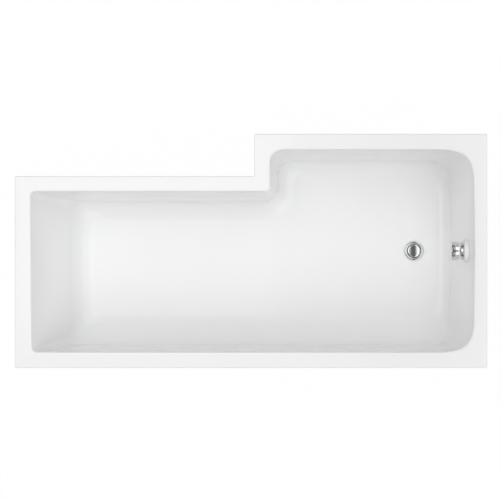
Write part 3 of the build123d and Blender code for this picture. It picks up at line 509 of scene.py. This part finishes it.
# Glass-fibre backing
# Chopped strands of glass in resin, sprayed and rolled on the back of the acrylic to stiffen it.
# It is rough and off-white, with the strands lying every way.
glassfibre = 0.004
skin_gap = 0.0001
fibre_backing = finish(
    "fibre_backing",
    0.0,
    (
        ("Colour", "Roughness"),
        {
            "Scale": 14.0,
            "Detail": 4.0,
            "Low Colour": (0.60, 0.62, 0.55, 1),
            "High Colour": (0.74, 0.75, 0.69, 1),
            "Low Roughness": 0.35,
            "High Roughness": 0.6,
        },
    ),
    (
        ("Normal",),
        {
            "Scale": 60.0,
            "Detail": 6.0,
            "Grain": 0.7,
            "Stretch": (1, 4, 2),
            "Relief": 0.6,
            "Depth": 0.003,
        },
    ),
)
backing = moulding("fibre_back", acrylic + skin_gap, acrylic + glassfibre, "shell_reinforcement")
dress("fibre_back", fibre_backing)


# Baseboard
# Chipboard bonded under the flat of the floor, which spreads the load from the cradle. Flat chips
# of softwood pressed with resin, sawn to the floor's shape and notched round the waste.
chipboard = finish(
    "chipboard",
    0.0,
    (
        everything,
        {
            "Scale": 130.0,
            "Detail": 5.0,
            "Grain": 0.75,
            "Stretch": (1, 1, 3),
            "From": 0.32,
            "To": 0.68,
            "Low Colour": (0.33, 0.22, 0.12, 1),
            "High Colour": (0.66, 0.50, 0.31, 1),
            "Low Roughness": 0.85,
            "High Roughness": 0.7,
            "Relief": 0.5,
            "Depth": 0.0006,
        },
    ),
)
dress("baseboard", chipboard)


# Rim strips
# Sawn softwood laths bonded under the deck behind the skirt, one to each side. They stiffen the
# rim and take the bracket screws. The grain runs along each lath.
def softwood(name, grain):
    """Sawn wood with its grain drawn out along the axis whose stretch is small."""
    return finish(
        name,
        0.0,
        (
            everything,
            {
                "Scale": 22.0,
                "Detail": 4.0,
                "Grain": 0.6,
                "Stretch": grain,
                "From": 0.35,
                "To": 0.65,
                "Low Colour": (0.50, 0.34, 0.18, 1),
                "High Colour": (0.74, 0.57, 0.36, 1),
                "Low Roughness": 0.75,
                "High Roughness": 0.62,
                "Relief": 0.35,
                "Depth": 0.0005,
            },
        ),
    )


lath_along_x = softwood("lath_grain_long", (0.15, 6.0, 6.0))
lath_along_y = softwood("lath_grain_across", (6.0, 0.15, 6.0))
for side in ("wall", "wide", "room"):
    dress(f"rim_strip_{side}", lath_along_x)
for side in ("end", "step", "foot"):
    dress(f"rim_strip_{side}", lath_along_y)


# Cradle rails, nuts and brackets
# Folded from zinc-plated steel sheet. The plating is a pale silver with faint spangle, and duller
# patches where it has been handled. The lever's pin, the pull wire and the hose clips share it.
zinc_plate = finish(
    "zinc_plate",
    1.0,
    (
        ("Colour", "Normal"),
        {
            "Scale": 240.0,
            "Grain": 0.6,
            "Low Colour": (0.52, 0.53, 0.54, 1),
            "High Colour": (0.70, 0.71, 0.72, 1),
            "Relief": 0.12,
            "Depth": 0.0002,
        },
    ),
    (("Roughness",), {"Scale": 18.0, "Detail": 4.0, "Low Roughness": 0.25, "High Roughness": 0.5}),
)
for number in (1, 2, 3):
    dress(f"cradle_rail_{number}", zinc_plate)
for name in ("upper_lock_nuts", "lower_lock_nuts", "wall_brackets"):
    dress(name, zinc_plate)
for name in ("lever_pin", "pull_wire", "hose_clips"):
    dress(name, zinc_plate)


# Foot studs
# M10 steel rod, threaded all along at a pitch of 1.5 mm, with a plain chamfered end. Each is
# screwed into its foot and runs up through the rail between two nuts.
thread_pitch = 0.0015
thread_depth = 0.0009
thread_start = 0.0004
thread_spare = 0.002


def threaded_rod(name, low, high, body):
    """Spins a thread's tooth up a rod between two corners of the CAD stud's box."""
    radius = (high.x - low.x) / 2
    middle_x = (low.x + high.x) / 2
    middle_y = (low.y + high.y) / 2
    start = (middle_x, middle_y, low.z + thread_start)
    bpy.ops.object.select_all(action="DESELECT")
    bpy.ops.mesh.primitive_plane_add(size=0.001, location=start)
    rod = bpy.context.object
    rod.name = name
    bpy.ops.object.mode_set(mode="EDIT")
    bpy.ops.mesh.select_mode(type="VERT")
    bpy.ops.mesh.select_all(action="SELECT")
    bpy.ops.mesh.merge(type="CENTER")
    bpy.ops.transform.translate(value=(radius - thread_depth, 0, 0))
    for outward in (thread_depth, -thread_depth):
        flank = (outward, 0, thread_pitch / 2)
        bpy.ops.mesh.extrude_region_move(TRANSFORM_OT_translate={"value": flank})
    bpy.ops.object.mode_set(mode="OBJECT")
    winding = rod.modifiers.new("thread", "SCREW")
    winding.screw_offset = thread_pitch
    winding.iterations = int((high.z - low.z - thread_spare) / thread_pitch)
    winding.steps = 20
    winding.render_steps = 20
    winding.use_merge_vertices = True
    winding.merge_threshold = 0.00001
    bpy.ops.object.modifier_apply(modifier=winding.name)
    bpy.ops.object.mode_set(mode="EDIT")
    bpy.ops.mesh.select_all(action="SELECT")
    bpy.ops.mesh.remove_doubles(threshold=0.00001)
    bpy.ops.mesh.select_all(action="DESELECT")
    bpy.ops.mesh.select_non_manifold(use_wire=False)
    bpy.ops.mesh.edge_face_add()
    bpy.ops.mesh.select_all(action="SELECT")
    bpy.ops.mesh.normals_make_consistent(inside=False)
    bpy.ops.object.mode_set(mode="OBJECT")
    bpy.ops.object.transform_apply(location=True)
    bpy.ops.object.shade_smooth_by_angle(angle=radians(40))
    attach(rod, body)
    return rod


for number in range(1, 7):
    node = f"foot_stud_{number}"
    rod = threaded_rod(f"threaded_rod_{number}", *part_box(node), f"foot_{number}")
    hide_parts(node)
    dress(rod.name, zinc_plate)


# Foot pads
# Moulded in black plastic with a fine satin grain, a broad base and a hub round the stud.
black_moulding = finish(
    "black_moulding",
    0.0,
    (
        everything,
        {
            "Scale": 900.0,
            "Detail": 2.0,
            "Low Colour": (0.022, 0.022, 0.024, 1),
            "High Colour": (0.040, 0.040, 0.043, 1),
            "Low Roughness": 0.44,
            "High Roughness": 0.52,
            "Relief": 0.3,
            "Depth": 0.0002,
        },
    ),
)
for number in range(1, 7):
    dress(f"foot_pad_{number}", black_moulding)


# Screws
# Pan-head wood screws with a cross recess, zinc plated like the rails. Twelve hold the rails to
# the baseboard and four hold the brackets to the wall-side lath.
screw_head = 0.004
screw_rise = 0.0024
head_round = 0.0011
shank_radius = screw_head - 0.0021
shank_length = 0.012
tip_length = 0.003
recess_size = (0.0046, 0.0009, 0.0028)


def edit_faces(piece, test):
    """Goes into edit mode with only the faces that pass a test selected."""
    if piece.mode == "OBJECT":
        pick(piece)
        bpy.ops.object.mode_set(mode="EDIT")
    bpy.ops.mesh.select_mode(type="FACE")
    bpy.ops.mesh.select_all(action="DESELECT")
    mesh = bmesh.from_edit_mesh(piece.data)
    for face in mesh.faces:
        face.select_set(test(face))
    mesh.select_flush_mode()
    bmesh.update_edit_mesh(piece.data)


def leave_edit():
    """Goes back to object mode."""
    bpy.ops.object.mode_set(mode="OBJECT")


def screw(place):
    """One screw driven upwards, its head's rim against the sheet at the given place."""
    bpy.ops.object.select_all(action="DESELECT")
    bpy.ops.mesh.primitive_cylinder_add(
        vertices=32, radius=screw_head, depth=screw_rise, location=(0, 0, -screw_rise / 2)
    )
    head = bpy.context.object
    bpy.ops.object.transform_apply(location=True)
    edit_faces(head, lambda face: face.normal.z < -0.9)
    bpy.ops.mesh.bevel(offset=head_round, segments=4)
    edit_faces(head, lambda face: face.normal.z > 0.9)
    bpy.ops.mesh.inset(thickness=screw_head - shank_radius)
    bpy.ops.mesh.extrude_region_move(TRANSFORM_OT_translate={"value": (0, 0, shank_length)})
    bpy.ops.mesh.extrude_region_shrink_fatten(TRANSFORM_OT_shrink_fatten={"value": -tip_length})
    bpy.ops.transform.resize(value=(0.1, 0.1, 1))
    leave_edit()
    for turn in (0.0, pi / 2):
        bpy.ops.mesh.primitive_cube_add(size=1, location=(0, 0, -screw_rise), rotation=(0, 0, turn))
        slot_cutter = bpy.context.object
        slot_cutter.scale = recess_size
        cut(head, slot_cutter, "DIFFERENCE")
    pick(head)
    bpy.ops.object.shade_smooth_by_angle(angle=radians(35))
    head.location = place
    bpy.ops.object.transform_apply(location=True)
    return head


def screw_set(name, node):
    """A screw at each loose part of a CAD node, joined as one piece."""
    copy = bmesh.new()
    copy.from_mesh(nodes[node].data)
    bmesh.ops.remove_doubles(copy, verts=copy.verts, dist=0.00001)
    unseen = set(copy.verts)
    places = []
    while unseen:
        island = [unseen.pop()]
        for vertex in island:
            for edge in vertex.link_edges:
                other = edge.other_vert(vertex)
                if other in unseen:
                    unseen.remove(other)
                    island.append(other)
        low = Vector(min(v.co[axis] for v in island) for axis in range(3))
        high = Vector(max(v.co[axis] for v in island) for axis in range(3))
        places.append(Vector(((low.x + high.x) / 2, (low.y + high.y) / 2, low.z + screw_rise)))
    copy.free()
    heads = [screw(place) for place in places]
    pick(heads[0])
    for head in heads:
        head.select_set(True)
    bpy.ops.object.join()
    heads[0].name = name
    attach(heads[0], "bath")
    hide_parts(node)
    dress(name, zinc_plate)


screw_set("rail_pan_heads", "rail_screws")
screw_set("bracket_pan_heads", "bracket_screws")


# Waste flange
# Cast brass, chromed and polished: a rolled crest, a cone that the plug seats in, and a threaded
# skirt that screws down into the body under the floor, with a grid across it.
foam_thickness = 0.001
flange_z = rim_top - basin_depth - recess_depth + foam_thickness
flange_radius = 0.0350
crest_centre = (0.0305, 0.0008)
skirt_radius = 0.0240
skirt_bore = 0.0215
skirt_bottom = -0.0230
cone_bottom = -0.0030
grid_top = -0.0160
grid_bottom = -0.0190
grid_holes = 6
grid_circle = 0.0136
grid_hole = 0.0052
stem_bore = 0.00305


def turned(name, outline, centre, axis, soften, body):
    """Draws an outline of (radius, height) points and spins it about an axis, as on a lathe."""
    def spot(point):
        radius, height = point
        return Vector((radius, 0, height)) if axis.z else Vector((height, 0, radius))

    bpy.ops.object.select_all(action="DESELECT")
    bpy.ops.mesh.primitive_plane_add(size=0.001, location=(0, 0, 0))
    piece = bpy.context.object
    piece.name = name
    bpy.ops.object.mode_set(mode="EDIT")
    bpy.ops.mesh.select_mode(type="VERT")
    bpy.ops.mesh.select_all(action="SELECT")
    bpy.ops.mesh.merge(type="CENTER")
    here = spot(outline[0])
    bpy.ops.transform.translate(value=here)
    for point in outline[1:]:
        there = spot(point)
        bpy.ops.mesh.extrude_region_move(TRANSFORM_OT_translate={"value": there - here})
        here = there
    bpy.ops.mesh.select_all(action="SELECT")
    bpy.ops.mesh.spin(steps=96, angle=2 * pi, center=(0, 0, 0), axis=axis)
    bpy.ops.mesh.select_all(action="SELECT")
    bpy.ops.mesh.remove_doubles(threshold=0.00001)
    bpy.ops.mesh.normals_make_consistent(inside=False)
    bpy.ops.object.mode_set(mode="OBJECT")
    piece.location = centre
    bpy.ops.object.transform_apply(location=True)
    if soften:
        edges = piece.modifiers.new("soft edges", "BEVEL")
        edges.width = soften
        edges.segments = 3
        edges.limit_method = "ANGLE"
        edges.angle_limit = radians(28)
        bpy.ops.object.modifier_apply(modifier=edges.name)
    bpy.ops.object.shade_smooth_by_angle(angle=radians(35))
    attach(piece, body)
    return piece


def arc(centre, radius_along, radius_up, start, end, steps):
    """Points of an elliptical arc in (radius, height), its angles in degrees."""
    points = []
    for number in range(steps + 1):
        angle = radians(start + (end - start) * number / steps)
        points.append((centre[0] + radius_along * cos(angle), centre[1] + radius_up * sin(angle)))
    return points


def drill(piece, radius, depth, place, lean=0.0):
    """Bores a round hole through a piece, upright or leant over towards the X axis."""
    bpy.ops.mesh.primitive_cylinder_add(
        vertices=32, radius=radius, depth=depth, location=place, rotation=(0, lean, 0)
    )
    cut(piece, bpy.context.object, "DIFFERENCE")


chrome = finish(
    "polished_chrome",
    1.0,
    (
        everything,
        {
            "Scale": 70.0,
            "Detail": 4.0,
            "Low Colour": (0.76, 0.77, 0.78, 1),
            "High Colour": (0.82, 0.83, 0.84, 1),
            "Low Roughness": 0.03,
            "High Roughness": 0.08,
            "Relief": 0.02,
            "Depth": 0.0001,
        },
    ),
)

up = Vector((0, 0, 1))
waste_centre = Vector((waste_x, 0, flange_z))
flange_outline = [(skirt_radius, 0.0), (flange_radius, 0.0)]
flange_outline += arc(crest_centre, 0.0045, 0.0024, 0, 180, 16)
flange_outline += [
    (skirt_bore, cone_bottom),
    (skirt_bore, grid_top),
    (stem_bore, grid_top),
    (stem_bore, grid_bottom),
    (skirt_bore, grid_bottom),
    (skirt_bore, skirt_bottom),
    (skirt_radius, skirt_bottom),
    (skirt_radius, 0.0),
]
flange = turned("chrome_flange", flange_outline, waste_centre, up, 0.0, "bath")
for number in range(grid_holes):
    turn = 2 * pi * number / grid_holes
    across = Vector((grid_circle * cos(turn), grid_circle * sin(turn), -0.0175))
    drill(flange, grid_hole, 0.006, waste_centre + across)
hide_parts("waste_flange")
dress("chrome_flange", chrome)


# Plug
# A shallow chrome dome with a rolled edge, over a rubber washer and a brass stem.
dome_radius = 0.0218
dome_foot = 0.0025
dome_rise = 0.0012
dome_steps = 12
plug_outline = [(0.0, -0.0081), (0.0070, -0.0081), (0.0070, -0.0001), (0.0226, -0.0001)]
plug_outline += arc((dome_radius, 0.0011), 0.0012, 0.0012, -70, 75, 8)
for number in range(1, dome_steps + 1):
    inward = number / dome_steps
    height = dome_foot + dome_rise * (1 - (1 - inward) ** 2)
    plug_outline.append((dome_radius - dome_radius * number / dome_steps, height))
plug = turned("chrome_plug", plug_outline, waste_centre, up, 0.0, "plug")
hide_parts("plug_cap")
dress("chrome_plug", chrome)


# Overflow plate
# Chromed like the waste: a disc in front of the wall with water holes in its face, and a
# threaded sleeve that screws into the body behind the wall.
plate_x = pad_x - foam_thickness
plate_radius = 0.03425
plate_top_radius = 0.0320
plate_height = 0.0115
plate_rim = 0.0016
plate_inside = 0.0090
bearing_radius = 0.0080
bearing_end = 0.0040
sleeve_bore = 0.0207
sleeve_radius = 0.0237
sleeve_reach = 0.0260
inlet_holes = 6
inlet_circle = 0.014
inlet_hole = 0.004
ahead = Vector((1, 0, 0))
overflow_centre = Vector((plate_x, 0, overflow_z))
plate_outline = [
    (plate_radius, 0.0),
    (plate_radius, -plate_rim),
    (plate_top_radius, -plate_height),
    (stem_bore, -plate_height),
    (stem_bore, -bearing_end),
    (bearing_radius, -bearing_end),
    (bearing_radius, -plate_inside),
    (sleeve_bore, -plate_inside),
    (sleeve_bore, sleeve_reach),
    (sleeve_radius, sleeve_reach),
    (sleeve_radius, 0.0),
    (plate_radius, 0.0),
]
plate = turned("chrome_plate", plate_outline, overflow_centre, ahead, 0.0008, "bath")
for number in range(inlet_holes):
    turn = 2 * pi * number / inlet_holes
    across = Vector((-0.0102, inlet_circle * cos(turn), inlet_circle * sin(turn)))
    drill(plate, inlet_hole, 0.006, overflow_centre + across, pi / 2)
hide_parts("overflow_plate")
dress("chrome_plate", chrome)


# Overflow knob
# A chromed drum, hollow behind, that turns the overflow's stem to work the plug. A grub screw
# through its rim clamps it to the stem.
knob_gap = 0.0060
knob_back = plate_x - plate_height - knob_gap
knob_length = 0.029
knob_radius = 0.03425
knob_wall = 0.0025
knob_hub = 0.010
knob_face = 0.004
knob_round = 0.0045
knob_edge = 0.0008
bpy.ops.object.select_all(action="DESELECT")
bpy.ops.mesh.primitive_cylinder_add(
    vertices=128,
    radius=knob_radius,
    depth=knob_length,
    location=(knob_back - knob_length / 2, 0, overflow_z),
    rotation=(0, pi / 2, 0),
)
knob = bpy.context.object
knob.name = "chrome_knob"
bpy.ops.object.transform_apply(location=True, rotation=True)
edit_faces(knob, lambda face: face.normal.x < -0.9)
bpy.ops.mesh.bevel(offset=knob_round, segments=8)
edit_faces(knob, lambda face: face.normal.x > 0.9)
bpy.ops.mesh.bevel(offset=knob_edge, segments=3)
edit_faces(knob, lambda face: face.normal.x > 0.99 and face.calc_area() > 0.002)
for band, reach in (
    (knob_wall - knob_edge, knob_face - knob_length),
    (knob_radius - knob_wall - knob_hub, knob_length - knob_face),
    (knob_hub - stem_bore, knob_face - knob_length),
):
    bpy.ops.mesh.inset(thickness=band)
    bpy.ops.mesh.extrude_region_move(TRANSFORM_OT_translate={"value": (reach, 0, 0)})
leave_edit()
drill(knob, 0.0028, 0.030, (knob_back - 0.0065, 0, overflow_z + 0.020))
pick(knob)
bpy.ops.object.shade_smooth_by_angle(angle=radians(30))
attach(knob, "overflow_control")
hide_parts("overflow_knob")
dress("chrome_knob", chrome)

blackened = finish(
    "blackened_steel",
    0.8,
    (
        everything,
        {
            "Scale": 400.0,
            "Low Colour": (0.03, 0.03, 0.03, 1),
            "High Colour": (0.09, 0.09, 0.09, 1),
            "Low Roughness": 0.38,
            "High Roughness": 0.5,
            "Relief": 0.1,
            "Depth": 0.0001,
        },
    ),
)
dress("knob_grub_screw", blackened)


# Seals
# Black rubber washers under the floor, behind the wall and under the plug, and two thin rings of
# white foam behind the chrome.
rubber = finish(
    "black_rubber",
    0.0,
    (
        everything,
        {
            "Scale": 120.0,
            "Low Colour": (0.018, 0.018, 0.018, 1),
            "High Colour": (0.035, 0.035, 0.035, 1),
            "Low Roughness": 0.56,
            "High Roughness": 0.68,
            "Relief": 0.2,
            "Depth": 0.0002,
        },
    ),
)
for name in ("waste_lower_seal", "overflow_back_seal", "plug_seal"):
    dress(name, rubber)

foam = finish(
    "white_foam",
    0.0,
    (
        everything,
        {
            "Scale": 1500.0,
            "Detail": 2.0,
            "Low Colour": (0.66, 0.66, 0.64, 1),
            "High Colour": (0.80, 0.80, 0.78, 1),
            "Low Roughness": 0.85,
            "High Roughness": 0.95,
            "Relief": 0.4,
            "Depth": 0.0002,
        },
    ),
)
for name in ("waste_top_seal", "overflow_front_seal"):
    dress(name, foam)


# Waste body, lever and overflow body
# Injection moulded in white polypropylene, satin, with a faint flow pattern.
polypropylene = finish(
    "white_polypropylene",
    0.0,
    (
        everything,
        {
            "Scale": 35.0,
            "Low Colour": (0.74, 0.74, 0.72, 1),
            "High Colour": (0.80, 0.80, 0.78, 1),
            "Low Roughness": 0.38,
            "High Roughness": 0.46,
            "Relief": 0.08,
            "Depth": 0.0004,
        },
    ),
)
for name in ("waste_body", "lift_lever", "cable_drum", "overflow_body"):
    dress(name, polypropylene)


# Stems and wire end
# Turned brass, left bare, with fine tool rings.
brass = finish(
    "turned_brass",
    1.0,
    (
        everything,
        {
            "Scale": 90.0,
            "Detail": 4.0,
            "Low Colour": (0.62, 0.46, 0.20, 1),
            "High Colour": (0.78, 0.62, 0.32, 1),
            "Low Roughness": 0.38,
            "High Roughness": 0.18,
            "Relief": 0.05,
            "Depth": 0.0001,
        },
    ),
)
for name in ("plug_spindle", "overflow_spindle", "cable_nipple"):
    dress(name, brass)


# Overflow hose
# Grey corrugated plastic pipe with a plain cuff at each end, pushed over the spigots. It drops
# from the overflow, turns once, and runs under the floor to the waste.
hose_low, hose_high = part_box("overflow_hose")
rib_pitch = 0.0056
hose_cuff = 0.0132
hose_rib = 0.0017
hose_bore = 0.0113
hose_bend = 0.078
cuff_length = 0.026
cuff_edge = 0.0004
hose_x = hose_high.x - hose_cuff - hose_rib
hose_z = hose_low.z + hose_cuff + hose_rib
rib_steps = 12
rib_fullness = 0.7
round_steps = 48
bore_steps = 60
hose_drop = hose_high.z - hose_z - hose_bend
hose_turn = hose_bend * pi / 2
hose_run = hose_x - hose_bend - hose_low.x
hose_length = hose_drop + hose_turn + hose_run


def hose_ring(distance, radius):
    """Points round the hose at a distance from its upper end."""
    if distance <= hose_drop:
        centre = Vector((hose_x, 0, hose_high.z - distance))
        out = Vector((1, 0, 0))
    elif distance >= hose_drop + hose_turn:
        centre = Vector((hose_x - hose_bend - (distance - hose_drop - hose_turn), 0, hose_z))
        out = Vector((0, 0, -1))
    else:
        angle = (distance - hose_drop) / hose_bend
        out = Vector((cos(angle), 0, -sin(angle)))
        centre = Vector((hose_x - hose_bend, 0, hose_z + hose_bend)) + out * hose_bend
    side = Vector((0, 1, 0))
    ring = []
    for number in range(round_steps):
        turn = 2 * pi * number / round_steps
        ring.append(centre + out * radius * cos(turn) + side * radius * sin(turn))
    return ring


rings = [
    hose_ring(0.0, hose_bore),
    hose_ring(0.0, hose_cuff - cuff_edge),
    hose_ring(cuff_edge, hose_cuff),
]
ribbed = hose_length - 2 * cuff_length
rib_count = int(ribbed / rib_pitch)
for number in range(rib_count * rib_steps + 1):
    rise = (0.5 - 0.5 * cos(2 * pi * number / rib_steps)) ** rib_fullness
    along = cuff_length + ribbed * number / (rib_count * rib_steps)
    rings.append(hose_ring(along, hose_cuff + hose_rib * rise))
rings.append(hose_ring(hose_length - cuff_edge, hose_cuff))
rings.append(hose_ring(hose_length, hose_cuff - cuff_edge))
for number in range(bore_steps + 1):
    rings.append(hose_ring(hose_length * (1 - number / bore_steps), hose_bore))
hose_mesh = bmesh.new()
skin(hose_mesh, rings)
hose = new_piece("corrugated_hose", hose_mesh, "bath")
pick(hose)
bpy.ops.object.shade_smooth_by_angle(angle=radians(50))
hose_plastic = finish(
    "grey_hose_plastic",
    0.0,
    (
        everything,
        {
            "Scale": 30.0,
            "Low Colour": (0.36, 0.37, 0.38, 1),
            "High Colour": (0.46, 0.47, 0.48, 1),
            "Low Roughness": 0.32,
            "High Roughness": 0.4,
            "Relief": 0.05,
            "Depth": 0.0004,
        },
    ),
)
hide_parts("overflow_hose")
dress("corrugated_hose", hose_plastic)


# Control cable
# A black sheathed casing that carries the pull wire from the overflow to the waste's lever.
sheath = finish(
    "black_sheath",
    0.0,
    (
        everything,
        {
            "Scale": 200.0,
            "Low Colour": (0.012, 0.012, 0.013, 1),
            "High Colour": (0.030, 0.030, 0.032, 1),
            "Low Roughness": 0.36,
            "High Roughness": 0.44,
            "Relief": 0.1,
            "Depth": 0.0001,
        },
    ),
)
dress("control_cable", sheath)


# Studio
# A pale floor and sky that the camera sees as plain white. Six softboxes, drawn as round glows in
# the sky, and one lamp light the bath. What is polished reflects a sky of its own: a bright
# ceiling on the shower-end side, a dimmer one on the foot side, and a dark boom over the waste.
bpy.ops.object.select_all(action="DESELECT")
bpy.ops.mesh.primitive_plane_add(size=24.0, location=(0, 0, 0))
floor = bpy.context.object
floor.name = "studio_floor"
pale_floor = finish(
    "pale_floor",
    0.0,
    (
        everything,
        {
            "Scale": 3.0,
            "Low Colour": (0.84, 0.84, 0.84, 1),
            "High Colour": (0.86, 0.86, 0.86, 1),
            "Low Roughness": 0.85,
            "High Roughness": 0.95,
        },
    ),
)
floor_white = 0.99
tree = pale_floor.node_tree.nodes
links = pale_floor.node_tree.links


def combine(operation, first, second):
    """One Math node in the current tree between two values, each an output or a number."""
    node = tree.new("ShaderNodeMath")
    node.operation = operation
    for socket, value in zip(node.inputs, (first, second)):
        if isinstance(value, float):
            socket.default_value = value
        else:
            links.new(value, socket)
    return node.outputs["Value"]


ray = tree.new("ShaderNodeLightPath")
shown = combine("MAXIMUM", ray.outputs["Is Camera Ray"], ray.outputs["Is Transmission Ray"])
shown = combine("MAXIMUM", shown, ray.outputs["Is Glossy Ray"])
glow = tree.new("ShaderNodeEmission")
glow.inputs["Strength"].default_value = 1.0
both = tree.new("ShaderNodeMixShader")
links.new(combine("MULTIPLY", shown, floor_white), both.inputs["Fac"])
links.new(tree["Principled BSDF"].outputs["BSDF"], both.inputs[1])
links.new(glow.outputs["Emission"], both.inputs[2])
links.new(both.outputs["Shader"], tree["Material Output"].inputs["Surface"])
floor.data.materials.append(pale_floor)

world = bpy.data.worlds.new("studio")
scene.world = world
world.use_nodes = True
tree = world.node_tree.nodes
links = world.node_tree.links
sky_place = tree.new("ShaderNodeTexCoord")
parts = tree.new("ShaderNodeSeparateXYZ")
links.new(sky_place.outputs["Generated"], parts.inputs["Vector"])


def softbox(turn, lean, sharpness, strength):
    """A round glow in the sky, leaning `lean` degrees from overhead and turned from the X axis."""
    toward = tree.new("ShaderNodeVectorMath")
    toward.operation = "DOT_PRODUCT"
    links.new(sky_place.outputs["Generated"], toward.inputs[0])
    turn = radians(turn)
    lean = radians(lean)
    toward.inputs[1].default_value = (sin(lean) * cos(turn), sin(lean) * sin(turn), cos(lean))
    facing = combine("MAXIMUM", toward.outputs["Value"], 0.0)
    return combine("MULTIPLY", combine("POWER", facing, sharpness), strength)


def sky_band(axis, stops):
    """Brightness by the angle from overhead towards an axis; stops are (degrees, brightness)."""
    angle = combine("ARCTAN2", parts.outputs[axis], parts.outputs["Z"])
    share = tree.new("ShaderNodeMapRange")
    share.inputs["From Min"].default_value = -pi / 2
    share.inputs["From Max"].default_value = pi / 2
    links.new(angle, share.inputs["Value"])
    band = tree.new("ShaderNodeValToRGB")
    elements = band.color_ramp.elements
    while len(elements) < len(stops):
        elements.new(0.5)
    for element, (degrees_up, value) in zip(elements, stops):
        element.position = 0.5 + degrees_up / 180
        element.color = (value, value, value, 1)
    links.new(share.outputs["Result"], band.inputs["Fac"])
    return band.outputs["Color"]


light_sky = softbox(0, 0, 8.0, 0.84)
for turn, lean, strength in (
    (0, 65, 1.06),
    (180, 65, 1.50),
    (90, 35, 1.85),
    (270, 35, 1.72),
    (315, 35, 1.27),
):
    light_sky = combine("ADD", light_sky, softbox(turn, lean, 12.0, strength))
shine_sky = combine(
    "MULTIPLY",
    sky_band(
        "X",
        [(-90, 0.15), (-50, 0.25), (7, 0.35), (12, 1.0), (50, 1.0), (58, 0.25), (90, 0.15)],
    ),
    sky_band(
        "Y",
        [(-90, 0.35), (-49, 0.4), (-42, 1.0), (42, 1.0), (49, 0.4), (90, 0.35)],
    ),
)
ray = tree.new("ShaderNodeLightPath")
shine = tree.new("ShaderNodeBackground")
shine.inputs["Strength"].default_value = 1.5
links.new(shine_sky, shine.inputs["Color"])
light = tree["Background"]
light.inputs["Strength"].default_value = 1.05
links.new(light_sky, light.inputs["Color"])
lit = tree.new("ShaderNodeMixShader")
links.new(ray.outputs["Is Glossy Ray"], lit.inputs["Fac"])
links.new(light.outputs["Background"], lit.inputs[1])
links.new(shine.outputs["Background"], lit.inputs[2])
backdrop = tree.new("ShaderNodeBackground")
backdrop.inputs["Color"].default_value = (1, 1, 1, 1)
backdrop.inputs["Strength"].default_value = 1.0
shown = combine("MAXIMUM", ray.outputs["Is Camera Ray"], ray.outputs["Is Transmission Ray"])
seen = tree.new("ShaderNodeMixShader")
links.new(shown, seen.inputs["Fac"])
links.new(lit.outputs["Shader"], seen.inputs[1])
links.new(backdrop.outputs["Background"], seen.inputs[2])
links.new(seen.outputs["Shader"], tree["World Output"].inputs["Surface"])

lamp_data = bpy.data.lights.new("softbox", "AREA")
lamp_data.shape = "SQUARE"
lamp_data.size = 1.4
lamp_data.energy = 6.0
lamp = bpy.data.objects.new("softbox", lamp_data)
lamp.location = (-0.55, 0.35, 2.6)
lamp.visible_camera = False
scene.collection.objects.link(lamp)

bpy.ops.object.select_all(action="DESELECT")
bpy.ops.mesh.primitive_plane_add(size=1, location=(0.63, 0, 2.0))
boom = bpy.context.object
boom.name = "studio_boom"
boom.scale = (0.34, 1.7, 1)
bpy.ops.object.transform_apply(location=True, scale=True)
boom.visible_camera = False
boom.visible_diffuse = False
boom.visible_shadow = False
dark_cloth = finish(
    "dark_cloth",
    0.0,
    (
        everything,
        {
            "Scale": 300.0,
            "Low Colour": (0.12, 0.12, 0.12, 1),
            "High Colour": (0.18, 0.18, 0.18, 1),
        },
    ),
)
boom.data.materials.append(dark_cloth)

scene.view_settings.view_transform = "Standard"
